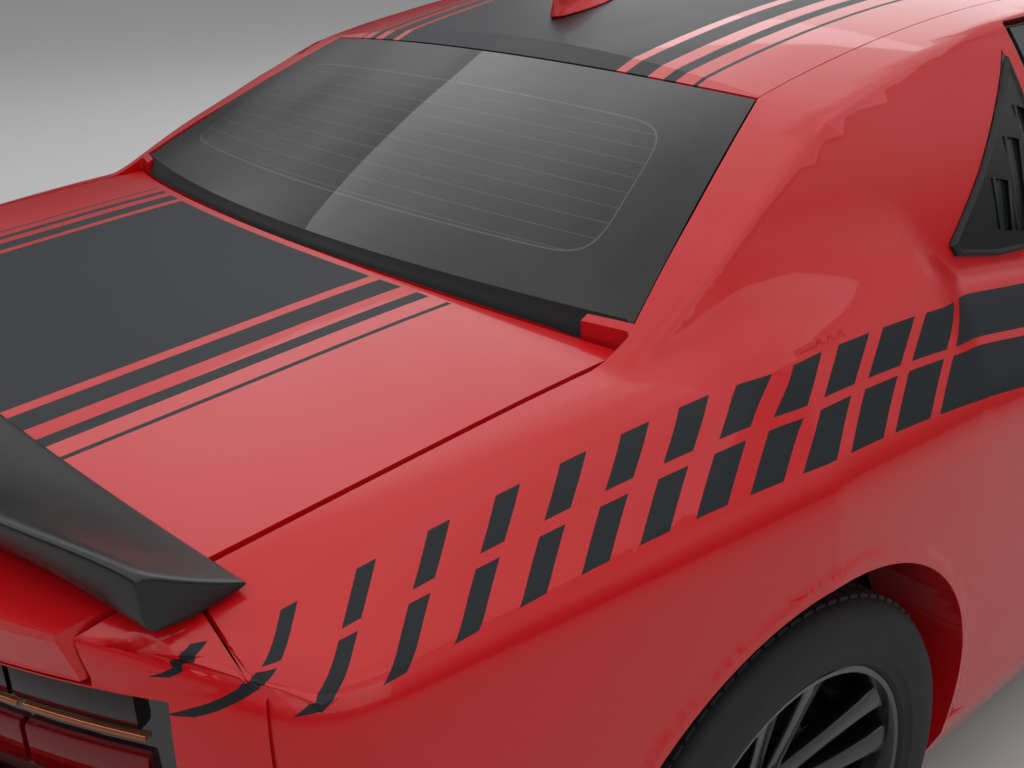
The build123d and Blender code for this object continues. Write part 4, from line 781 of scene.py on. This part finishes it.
for pair in range(PAIRS):
    for side in (-1, 1):
        radius, half, outer, inner = SPOKE_ROWS[0]
        start = [bm.verts.new(c) for c in ((-half, outer, radius), (half, outer, radius), (half, inner, radius), (-half, inner, radius))]
        face = bm.faces.new(start)
        made = list(start)
        for radius, half, outer, inner in SPOKE_ROWS[1:]:
            grown = bmesh.ops.extrude_face_region(bm, geom=[face])
            ring = [g for g in grown["geom"] if isinstance(g, bmesh.types.BMVert)]
            old = face
            face = next(g for g in grown["geom"] if isinstance(g, bmesh.types.BMFace))
            bmesh.ops.delete(bm, geom=[old], context="FACES_ONLY")
            middle = sum((v.co.y for v in ring)) / 4
            for vert in ring:
                vert.co = Vector((math.copysign(half, vert.co.x), outer if vert.co.y > middle else inner, radius))
            made += ring
        long_edges = {e for v in made for e in v.link_edges if abs(e.verts[0].co.z - e.verts[1].co.z) > 1e-4 and e.calc_length() > 0.012}
        bevelled = bmesh.ops.bevel(bm, geom=list(long_edges), offset=0.0045, offset_type="OFFSET", segments=2, profile=0.5,
                                   affect="EDGES", material=-1)
        made = {v for v in made if v.is_valid} | {v for f in bevelled["faces"] for v in f.verts}
        turn = Matrix.Rotation(2 * math.pi * pair / PAIRS + side * PAIR_SPREAD / 2, 4, "Y")
        spoke_shift = Matrix.Translation((side * 0.014, 0, 0))
        bmesh.ops.transform(bm, matrix=turn @ spoke_shift, verts=list(made))
for nut in range(5):
    angle = 2 * math.pi * (nut + 0.5) / 5
    turn = Matrix.Translation((0.0575 * math.sin(angle), 0.056, 0.0575 * math.cos(angle))) @ Matrix.Rotation(-math.pi / 2, 4, "X")
    bmesh.ops.create_cone(bm, cap_ends=True, segments=6, radius1=0.0105, radius2=0.009, depth=0.02, matrix=turn)
bmesh.ops.remove_doubles(bm, verts=bm.verts, dist=1e-5)
bmesh.ops.recalc_face_normals(bm, faces=bm.faces)
wheel_mesh = bpy.data.meshes.new("wheel")
bm.to_mesh(wheel_mesh)
bm.free()
bm = bmesh.new()
DISC = ((0.070, -0.034), (0.100, -0.034), (0.104, -0.0085), (0.178, -0.0085), (0.178, -0.017), (0.150, -0.018), (0.150, -0.027),
        (0.178, -0.028), (0.178, -0.0365), (0.092, -0.0365), (0.070, -0.040))
spin_profile(bm, DISC, 64)
bmesh.ops.recalc_face_normals(bm, faces=bm.faces)
disc_mesh = bpy.data.meshes.new("disc")
bm.to_mesh(disc_mesh)
bm.free()
for name, (x, sign) in WHEELS.items():
    place = Matrix.Translation(wheel_middle[name]) @ Matrix.Rotation(0 if sign > 0 else math.pi, 4, "Z")
    for source, label, finish, slot in ((wheel_mesh, "wheel_", BLACK_ENAMEL, "wheel_black"),
                                        (disc_mesh, "disc_", TURNED_IRON, "cast_iron")):
        mesh = source.copy()
        mesh.transform(place)
        place_piece(mesh, label + name, "wheel_" + name, finish, slot, ("rim_" + name,), sharp=32)
print("wheel faces", len(wheel_mesh.polygons), "disc faces", len(disc_mesh.polygons))

# %% [markdown]
# ## Finding the body's surface
# Trim has to lie on the panel that carries it. A ray sent at the solid panels gives the exact place of their surface.

# %% Finding the body's surface
def surface_tree(*names):
    """A search tree over the named solid panels."""
    verts, faces = [], []
    for node_name in names:
        base = len(verts)
        mesh = frame["nodes"][node_name].data
        verts += [v.co.copy() for v in mesh.vertices]
        faces += [[base + i for i in p.vertices] for p in mesh.polygons]
    return BVHTree.FromPolygons(verts, faces)


FLANK_TREE = surface_tree("body_side_left", "door_left", "fender_left", "rear_fascia", "front_fascia", "rear_valance")
TOP_TREE = surface_tree("roof_panel", "trunk_lid", "hood", "windscreen", "rear_window", "body_side_left", "rear_shelf", "cowl")


def flank(x, z):
    """Side place of the left flank at a place and height."""
    hit = FLANK_TREE.ray_cast(Vector((x, 1.4, z)), Vector((0, -1, 0)))[0]
    return hit.y if hit else None


def top(x, y):
    """Height of the body's top at a place."""
    hit = TOP_TREE.ray_cast(Vector((x, y, 2.0)), Vector((0, 0, -1)))[0]
    return hit.z if hit else None


# %% [markdown]
# ## Quarter windows' louvres
# Behind each door sits a small fixed window under a black cover. A rubber frame follows the window's outline. The cover
# is one flat face cut along the edges of its three slots, bent on to the curved glass and given a wall, and a small rib
# stands at each slot's front and rear edge.

# %% Quarter windows' louvres
QUARTER = [(-0.597, 1.056), (-0.597, 1.335), (-0.629, 1.310), (-0.775, 1.188), (-0.886, 1.104), (-0.877, 1.088), (-0.775, 1.069)]


def pane(x, z):
    """Side place of the cabin's side glass at a place and height."""
    middle_side = ARC_SIDE + math.sqrt(ARC_RADIUS ** 2 - (z - ARC_HEIGHT) ** 2)
    return AXIS_SIDE + math.sqrt((middle_side - AXIS_SIDE) ** 2 - (x - AXIS_X) ** 2)


middle = Vector((sum(x for x, _ in QUARTER) / 7, sum(z for _, z in QUARTER) / 7))
bm = bmesh.new()
rings = []
for scale, stand in ((1.03, 0.0), (1.02, 0.006), (0.97, 0.009), (0.93, 0.006), (0.92, 0.0)):
    ring = []
    for k, (x, z) in enumerate(QUARTER):
        nx, nz = QUARTER[(k + 1) % 7]
        for part in range(6):
            px, pz = x + (nx - x) * part / 6, z + (nz - z) * part / 6
            sx, sz = middle.x + (px - middle.x) * scale, middle.y + (pz - middle.y) * scale
            ring.append(bm.verts.new((sx, pane(sx, sz) + stand, sz)))
    edges = [bm.edges.new(pair) for pair in zip(ring, ring[1:] + ring[:1])]
    if rings:
        bmesh.ops.bridge_loops(bm, edges=rings[-1] + edges)
    rings.append(edges)
surround = finish_piece(bm, "quarter_surround_left", "body", RUBBER_SEAL, "black_plastic", sharp=50)
twin(surround, "quarter_surround_right", "body")
# Each slot in the cover: its four corners in side view, clockwise from the upper rear one
SLOTS = (((-0.751, 1.180), (-0.709, 1.168), (-0.722, 1.095), (-0.757, 1.102)),
         ((-0.689, 1.232), (-0.649, 1.222), (-0.674, 1.086), (-0.707, 1.092)),
         ((-0.634, 1.272), (-0.606, 1.262), (-0.622, 1.082), (-0.656, 1.086)))
bm = bmesh.new()
cover = [bm.verts.new((middle.x + (x - middle.x) * 0.94, 0, middle.y + (z - middle.y) * 0.94)) for x, z in QUARTER]
bm.faces.new(cover)
for slot in SLOTS:
    for (x1, z1), (x2, z2) in zip(slot, slot[1:] + slot[:1]):
        bmesh.ops.bisect_plane(bm, geom=bm.verts[:] + bm.edges[:] + bm.faces[:], plane_co=(x1, 0, z1),
                               plane_no=(z2 - z1, 0, x1 - x2), dist=1e-6)


def in_slot(point, slot):
    """True if a point of the cover lies inside a slot."""
    turns = [(x2 - x1) * (point.z - z1) - (z2 - z1) * (point.x - x1) for (x1, z1), (x2, z2) in zip(slot, slot[1:] + slot[:1])]
    return max(turns) < 0 or min(turns) > 0


holes = [f for f in bm.faces if any(in_slot(f.calc_center_median(), slot) for slot in SLOTS)]
bmesh.ops.delete(bm, geom=holes, context="FACES")
bmesh.ops.triangulate(bm, faces=bm.faces[:])
bmesh.ops.subdivide_edges(bm, edges=[e for e in bm.edges if e.calc_length() > 0.04], cuts=1)
for vert in bm.verts:
    vert.co.y = pane(vert.co.x, vert.co.z) + 0.0055
bmesh.ops.recalc_face_normals(bm, faces=bm.faces)
bmesh.ops.solidify(bm, geom=bm.faces[:], thickness=0.0045)
cover_piece = finish_piece(bm, "quarter_louvre_left", "body", SATIN_ABS, "black_plastic", sharp=40)
twin(cover_piece, "quarter_louvre_right", "body")
bm = bmesh.new()
for slot in SLOTS:
    for (top_x, top_z), (low_x, low_z) in ((slot[0], slot[3]), (slot[1], slot[2])):
        foot = Vector((low_x, pane(low_x, low_z) + 0.0045, low_z))
        head = Vector((top_x, pane(top_x, top_z) + 0.0045, top_z))
        turn = (head - foot).to_track_quat("Z", "Y").to_matrix().to_4x4()
        add_box(bm, (0.006, 0.009, (head - foot).length), (foot + head) / 2, turn, bevel=0.002)
ribs_piece = finish_piece(bm, "quarter_ribs_left", "body", SATIN_ABS, "black_plastic")
twin(ribs_piece, "quarter_ribs_right", "body")
print("slots in each cover", len(SLOTS))

# %% [markdown]
# ## Spoiler
# The spoiler is one moulding that lies on the lid and stands out over the quarter panels. Its top is hollow and sweeps up
# to a lip, and its rear face is tall at the ends and narrow in the middle. Closed sections across the car are bridged one
# to the next, and a subdivision surface rounds the whole.

# %% Spoiler
SPOILER_FRONT, SPOILER_REAR = -2.147, -2.379
# Each section: its place across, the peak's height above the deck and the height of its rear face
SPOILER_ROWS = ((0.775, 0.060, 0.058), (0.770, 0.064, 0.060), (0.740, 0.070, 0.055), (0.700, 0.074, 0.044), (0.600, 0.077, 0.026),
                (0.450, 0.078, 0.024), (0.300, 0.079, 0.023), (0.150, 0.080, 0.022), (0.0, 0.080, 0.022))


def deck_height(x, y):
    """Height of the deck's surface."""
    return float(np.sqrt((rounded_top(x) - CROWN_AXIS) ** 2 - y ** 2) + CROWN_AXIS)


def spoiler_ring(bm, y, rise, lip):
    """One closed section of the spoiler, as edges."""
    front, rear = SPOILER_FRONT + y ** 2 / 8, SPOILER_REAR + y ** 2 / 3
    front_z, rear_z = deck_height(front, y), deck_height(rear, y)
    peak = rear_z + rise
    points = [(front, front_z + 0.0005), (front - 0.004, front_z + 0.005)]
    points += [(front + (rear + 0.012 - front) * t, front_z + 0.005 + (peak - front_z - 0.006) * t ** 1.25)
               for t in (0.2, 0.4, 0.6, 0.8, 0.93)]
    points += [(rear + 0.008, peak - 0.0005), (rear + 0.001, peak - 0.002), (rear + 0.0005, peak - 0.007),
               (rear + 0.003, peak - 0.8 * lip), (rear + 0.007, peak - lip), (rear + 0.020, (peak - lip + rear_z) / 2),
               (rear + 0.044, rear_z + 0.001), (rear + 0.05, rear_z + 0.0005)]
    verts = [bm.verts.new((x, y, z)) for x, z in points]
    return [bm.edges.new(pair) for pair in zip(verts, verts[1:] + verts[:1])]


bm = bmesh.new()
sections = [*SPOILER_ROWS, *[(-y, rise, lip) for y, rise, lip in reversed(SPOILER_ROWS[:-1])]]
rings = [spoiler_ring(bm, *section) for section in sections]
for before, after in zip(rings, rings[1:]):
    bmesh.ops.bridge_loops(bm, edges=before + after)
for ring in (rings[0], rings[-1]):
    cap = bmesh.ops.contextual_create(bm, geom=ring)["faces"]
    bmesh.ops.inset_region(bm, faces=cap, thickness=0.0025, depth=0.001)
spoiler = finish_piece(bm, "spoiler_moulding", "trunk", SATIN_ABS, "black_plastic", ("spoiler",), sharp=60, smooth_levels=2)
print("spoiler sections", len(sections))

# %% [markdown]
# ## Tail lamps
# The lamp is a bowed black panel across the whole tail. On it lie two rows of lenses with dark gaps between them: smoked
# ones above and red ones below, with a thin brown strip between the rows. Each lens is a section spun about the upright
# axis of the tail's bow.

# %% Tail lamps
TAIL_AXIS = (TAIL + TAIL_BOW, 0.0, 0.0)
# Each row of lenses: its finish, its low and high edge, its radius about the bow's axis and how far it stands out
LAMP_ROWS = (("smoked", LENS_SMOKED, 0.880, 0.936, 1.368, 0.009), ("strip", LENS_AMBER, 0.862, 0.870, 1.367, 0.004),
             ("red", LENS_RED, 0.792, 0.848, 1.366, 0.008))
LENS_EDGES = (0.030, 0.210, 0.400, 0.590, 0.728)
LENS_GAP = 0.007
for label, finish, low, high, radius, stand in LAMP_ROWS:
    bm = bmesh.new()
    for sign in (1, -1):
        for start, end in zip(LENS_EDGES, LENS_EDGES[1:]):
            first, last = math.asin(start / radius), math.asin((end - LENS_GAP) / radius)
            section = ((radius - 0.004, low), (radius + stand * 0.7, low + 0.001), (radius + stand, low + 0.006),
                       (radius + stand, high - 0.006), (radius + stand * 0.7, high - 0.001), (radius - 0.004, high))
            verts = [bm.verts.new((TAIL_AXIS[0] - r * math.cos(first), sign * r * math.sin(first), z)) for r, z in section]
            face = bm.faces.new(verts)
            bmesh.ops.spin(bm, geom=[face], cent=TAIL_AXIS, axis=(0, 0, 1), dvec=(0, 0, 0), angle=-sign * (last - first), steps=8)
    finish_piece(bm, "tail_lens_" + label, "body", finish, "lamp_glass", sharp=40)
print("tail lenses", 2 * (len(LENS_EDGES) - 1) * len(LAMP_ROWS))

# %% [markdown]
# ## Rubber under the rear window
# A soft black lip closes the step between the rear window's lower edge and the lid. It rests on the shelf, and stays
# clear of the lid, which swings up past it.

# %% Rubber under the rear window
LIP_HALF, LIP_ROWS = 0.690, 48
bm = bmesh.new()
rows = []
for k in range(LIP_ROWS + 1):
    y = -LIP_HALF + 2 * LIP_HALF * k / LIP_ROWS
    glass_x = LOW_MIDDLE + (LOW_CORNER[0] - LOW_MIDDLE) * (y / LOW_CORNER[1]) ** 2 + 0.004
    lid_x = LID_EDGE + LID_CORNER * (y / LID_REACH) ** 2 + 0.0078
    glass_z = top(glass_x + 0.006, y)
    lid_z = deck_height(lid_x, y)
    fold_z = max(glass_z * 0.35 + lid_z * 0.65, lid_z + 0.002)
    rows.append([bm.verts.new(c) for c in ((glass_x, y, glass_z + 0.0005), ((glass_x + lid_x) / 2, y, fold_z),
                                           (lid_x, y, lid_z - 0.001), (lid_x + 0.0015, y, lid_z - 0.022))])
for a, b in zip(rows, rows[1:]):
    for k in range(3):
        bm.faces.new((a[k], a[k + 1], b[k + 1], b[k]))
bmesh.ops.recalc_face_normals(bm, faces=bm.faces)
bmesh.ops.solidify(bm, geom=bm.faces[:], thickness=0.003)
finish_piece(bm, "rear_window_lip", "body", RUBBER_SEAL, "black_plastic", sharp=60)
print("rubber lip rows", len(rows))

# %% [markdown]
# ## Aerial
# The aerial on the roof is a red fin with a flared foot. Rings of points from the foot to the top are bridged, and a
# subdivision surface rounds it.

# %% Aerial
# Each ring: its height above the roof, its rear and front end, and half its width
FIN_RINGS = ((0.000, -1.000, -0.800, 0.034), (0.006, -0.996, -0.828, 0.024), (0.018, -0.993, -0.868, 0.013),
             (0.034, -0.988, -0.915, 0.008), (0.044, -0.978, -0.945, 0.004))
bm = bmesh.new()
rings = []
for lift, rear_x, front_x, half in FIN_RINGS:
    verts = []
    for k in range(10):
        angle = 2 * math.pi * k / 10
        x = (rear_x + front_x) / 2 + (front_x - rear_x) / 2 * math.cos(angle)
        y = half * math.sin(angle) * (0.75 if math.cos(angle) > 0.5 else 1.0)
        verts.append(bm.verts.new((x, y, (top(x, y) or 1.41) - 0.001 + lift)))
    edges = [bm.edges.new(pair) for pair in zip(verts, verts[1:] + verts[:1])]
    if rings:
        bmesh.ops.bridge_loops(bm, edges=rings[-1] + edges)
    rings.append(edges)
bmesh.ops.contextual_create(bm, geom=rings[-1])
bmesh.ops.contextual_create(bm, geom=rings[0])
finish_piece(bm, "aerial", "body", FLANK_PAINT, "body_paint", ("antenna_fin",), sharp=70, smooth_levels=2)
print("aerial rings", len(rings))

# %% [markdown]
# ## Seats
# Car seats are foam under stretched leather, sewn in channels between firm bolsters. Each cushion starts as a box that
# is cut into a grid, its seams are pressed in, and a subdivision surface rounds it.

# %% Seats
# Each front cushion: its middle, its size, and how far its top leans back in degrees
SEAT_PARTS = (
    ("cushion", (0.105, 0.395, 0.500), (0.440, 0.350, 0.095), 5.0), ("back", (-0.245, 0.395, 0.790), (0.085, 0.350, 0.500), -13.0),
    ("headrest", (-0.330, 0.395, 1.060), (0.062, 0.230, 0.110), -8.0), ("bolster_inner", (0.090, 0.205, 0.520), (0.420, 0.070, 0.120), 5.0),
    ("bolster_outer", (0.090, 0.585, 0.520), (0.420, 0.070, 0.120), 5.0),
    ("wing_inner", (-0.225, 0.205, 0.770), (0.120, 0.070, 0.420), -13.0),
    ("wing_outer", (-0.225, 0.585, 0.770), (0.120, 0.070, 0.420), -13.0), ("base", (0.060, 0.395, 0.380), (0.380, 0.400, 0.090), 0.0),
)
REAR_PARTS = (("bench", (-0.965, 0.275, 0.490), (0.330, 0.500, 0.130), 8.0),
              ("squab", (-1.165, 0.275, 0.740), (0.090, 0.500, 0.430), -10.0))
SEWN = ("cushion", "back", "bench", "squab")


def cushion(bm, middle, size, lean, channels):
    """Adds a stuffed box with sewn channels across it."""
    pad = bmesh.new()
    bmesh.ops.create_cube(pad, size=1.0)
    bmesh.ops.subdivide_edges(pad, edges=pad.edges[:], cuts=5, use_grid_fill=True)
    longest = max(range(3), key=lambda k: size[k])
    for v in pad.verts:
        push = [1.0 - 0.16 * (2 * v.co[(k + 1) % 3]) ** 4 - 0.16 * (2 * v.co[(k + 2) % 3]) ** 4 for k in range(3)]
        seam = 1.0 - 0.06 * channels * (0.5 + 0.5 * math.cos(6 * math.pi * (v.co[longest] + 0.5)))
        v.co = Vector([v.co[k] * push[k] * (seam if k != longest else 1.0) * size[k] for k in range(3)])
    bmesh.ops.rotate(pad, verts=pad.verts, matrix=Matrix.Rotation(math.radians(lean), 3, "Y"))
    bmesh.ops.translate(pad, verts=pad.verts, vec=middle)
    mesh = bpy.data.meshes.new("cushion")
    pad.to_mesh(mesh)
    pad.free()
    bm.from_mesh(mesh)
    bpy.data.meshes.remove(mesh)


for row, parts, node in (("front", SEAT_PARTS, "front_seats"), ("rear", REAR_PARTS, "rear_seat")):
    bm = bmesh.new()
    for label, middle, size, lean in parts:
        for sign in (1, -1):
            cushion(bm, (middle[0], sign * middle[1], middle[2]), size, lean, 1.0 if label in SEWN else 0.0)
    if row == "rear":
        add_box(bm, (0.34, 1.06, 0.10), (-0.95, 0, 0.40), bevel=0.02)
    seat = finish_piece(bm, row + "_seat_cushions", "body", SEAT_LEATHER, "seat_trim", (node,), sharp=60, smooth_levels=2)
print("seat cushions", 2 * (len(SEAT_PARTS) + len(REAR_PARTS)))

# %% [markdown]
# ## Headlamps
# Four round lamps sit in the dark slot of the nose. Each has a bright ring round its edge and a dark bowl inside it. Both
# are profiles spun about the lamp's own axis, which is how a reflector is turned or pressed.

# %% Headlamps
LAMP_PLACES = ((NOSE - 0.122, 0.500), (NOSE - 0.164, 0.668))
LAMP_Z = 0.704
RING = ((0.050, -0.004), (0.052, 0.008), (0.058, 0.010), (0.064, 0.008), (0.065, -0.004))
BOWL = ((0.001, -0.020), (0.018, -0.018), (0.034, -0.010), (0.048, 0.002), (0.049, -0.006), (0.030, -0.022), (0.001, -0.030))
for label, finish, section in (("ring", SILVERED, RING), ("bowl", BLACK_ENAMEL, BOWL)):
    bm = bmesh.new()
    for x, y in LAMP_PLACES:
        for sign in (1, -1):
            verts = [bm.verts.new((x + out - 0.004, sign * y, LAMP_Z + r)) for r, out in section]
            edges = [bm.edges.new(pair) for pair in zip(verts, verts[1:] + verts[:1])]
            bmesh.ops.spin(bm, geom=edges, cent=(x, sign * y, LAMP_Z), axis=(1, 0, 0), dvec=(0, 0, 0), angle=2 * math.pi,
                           steps=48, use_merge=True)
    finish_piece(bm, "headlamp_" + label, "body", finish, "head_lamp", sharp=35)
print("headlamps", 2 * len(LAMP_PLACES))

# %% [markdown]
# ## Door handles and mirror glass
# Small parts finish the flanks. Door handles are curved bars that stand off the skin, so each is a row of sections along
# the door. The mirror glass is a thin silvered plate that faces backwards.

# %% Door handles and mirror glass
HANDLE_X, HANDLE_Z, HANDLE_LENGTH = (-0.330, -0.130), 0.905, 12
bm = bmesh.new()
rings = []
for k in range(HANDLE_LENGTH + 1):
    t = k / HANDLE_LENGTH
    x = HANDLE_X[0] + (HANDLE_X[1] - HANDLE_X[0]) * t
    stand = 0.004 + 0.022 * min(1.0, 5 * t, 5 * (1 - t)) ** 0.7
    side = flank(x, HANDLE_Z)
    around = [2 * math.pi * j / 10 for j in range(10)]
    ring = [bm.verts.new((x, side + stand - 0.006 + 0.006 * math.cos(a), HANDLE_Z + 0.012 * math.sin(a))) for a in around]
    edges = [bm.edges.new(pair) for pair in zip(ring, ring[1:] + ring[:1])]
    if rings:
        bmesh.ops.bridge_loops(bm, edges=rings[-1] + edges)
    rings.append(edges)
for ring in (rings[0], rings[-1]):
    bmesh.ops.contextual_create(bm, geom=ring)
handle = finish_piece(bm, "door_handle_left", "door_left", FLANK_PAINT, "body_paint", sharp=60, smooth_levels=1)
twin(handle, "door_handle_right", "door_right")
bm = bmesh.new()
MIRROR_REAR, MIRROR_SIDE, MIRROR_HEIGHT, MIRROR_WIDTH, MIRROR_DEPTH = 0.5855, 1.010, 1.092, 0.150, 0.092
disc = bmesh.ops.create_circle(bm, cap_ends=True, segments=40, radius=0.5)["verts"]
for v in disc:
    v.co = (MIRROR_REAR, MIRROR_SIDE + v.co.x * MIRROR_WIDTH, MIRROR_HEIGHT + v.co.y * MIRROR_DEPTH)
bmesh.ops.solidify(bm, geom=bm.faces[:], thickness=0.002)
glass_plate = finish_piece(bm, "mirror_glass_left", "door_left", SILVERED, "glass")
twin(glass_plate, "mirror_glass_right", "door_right")
print("door handles at", HANDLE_X)

# %% [markdown]
# ## Stage and light
# The car stands on a plain pale floor under a large soft box, as in a studio. A pale room all round gives the lacquer
# and the glass something soft to mirror.

# %% Stage and light
bm = bmesh.new()
bmesh.ops.create_circle(bm, cap_ends=True, segments=64, radius=30)
floor_mesh = bpy.data.meshes.new("floor")
bm.to_mesh(floor_mesh)
bm.free()
floor = bpy.data.objects.new("floor", floor_mesh)
bpy.context.scene.collection.objects.link(floor)
floor_mesh.materials.append(grained("concrete_painted_pale", "C2C2C0", "CACAC8", (0.6, 0.75), 4.0, 0.1))
world = bpy.data.worlds.new("room")
bpy.context.scene.world = world
world.use_nodes = True
world.node_tree.nodes.clear()
for row in (
    ("ray", "LightPath", {}, {}),
    ("seen", "Math", {"operation": "MAXIMUM"}, {0: "ray:Is Camera Ray", 1: "ray:Is Transmission Ray"}),
    ("place", "TexCoord", {}, {}),
    ("axes", "SeparateXYZ", {}, {0: "place:Generated"}),
    ("height", "MapRange", {"interpolation_type": "SMOOTHSTEP"}, {0: "axes:Z", 1: -0.05, 2: 0.55, 3: 0.03, 4: 1.0}),
    ("panels", "TexNoise", {}, {"Vector": "place:Generated", "Scale": 1.8, "Detail": 3.0, "Roughness": 0.5}),
    ("panel", "MapRange", {}, {0: "panels", 1: 0.36, 2: 0.66, 3: 0.12, 4: 0.95}),
    ("mirrored", "Math", {"operation": "MULTIPLY"}, {0: "height", 1: "panel"}),
    ("lit", "Mix", {}, {0: "ray:Is Glossy Ray", 2: 0.42, 3: "mirrored"}),
    ("strength", "Mix", {}, {0: "seen", 2: "lit", 3: 0.92}),
    ("shader", "Background", {}, {"Color": linear("F2F3F5"), "Strength": "strength"}),
    ("output", "OutputWorld", {}, {"Surface": "shader"}),
):
    add_node(world.node_tree, *row)
# Each lamp: its place, its size, its power in watts and the point that it faces
LIGHTS = (("top_box", (-0.5, 0.5, 7.0), (16.0, 14.0), 540.0, (-0.5, 0.0, 0.8)),
          ("side_box", (-3.0, -7.0, 4.0), (7.0, 4.0), 60.0, (-0.8, 0.0, 0.8)),
          ("front_box", (6.0, 4.0, 4.0), (6.0, 4.0), 100.0, (0.5, 0.0, 0.8)))
for name, place, size, power, aim in LIGHTS:
    data = bpy.data.lights.new(name, "AREA")
    data.shape = "RECTANGLE"
    data.size, data.size_y = size
    data.energy = power
    light = bpy.data.objects.new(name, data)
    light.location = place
    light.rotation_mode = "QUATERNION"
    light.rotation_quaternion = (Vector(place) - Vector(aim)).to_track_quat("Z", "Y")
    bpy.context.scene.collection.objects.link(light)
print("lights", len(LIGHTS))
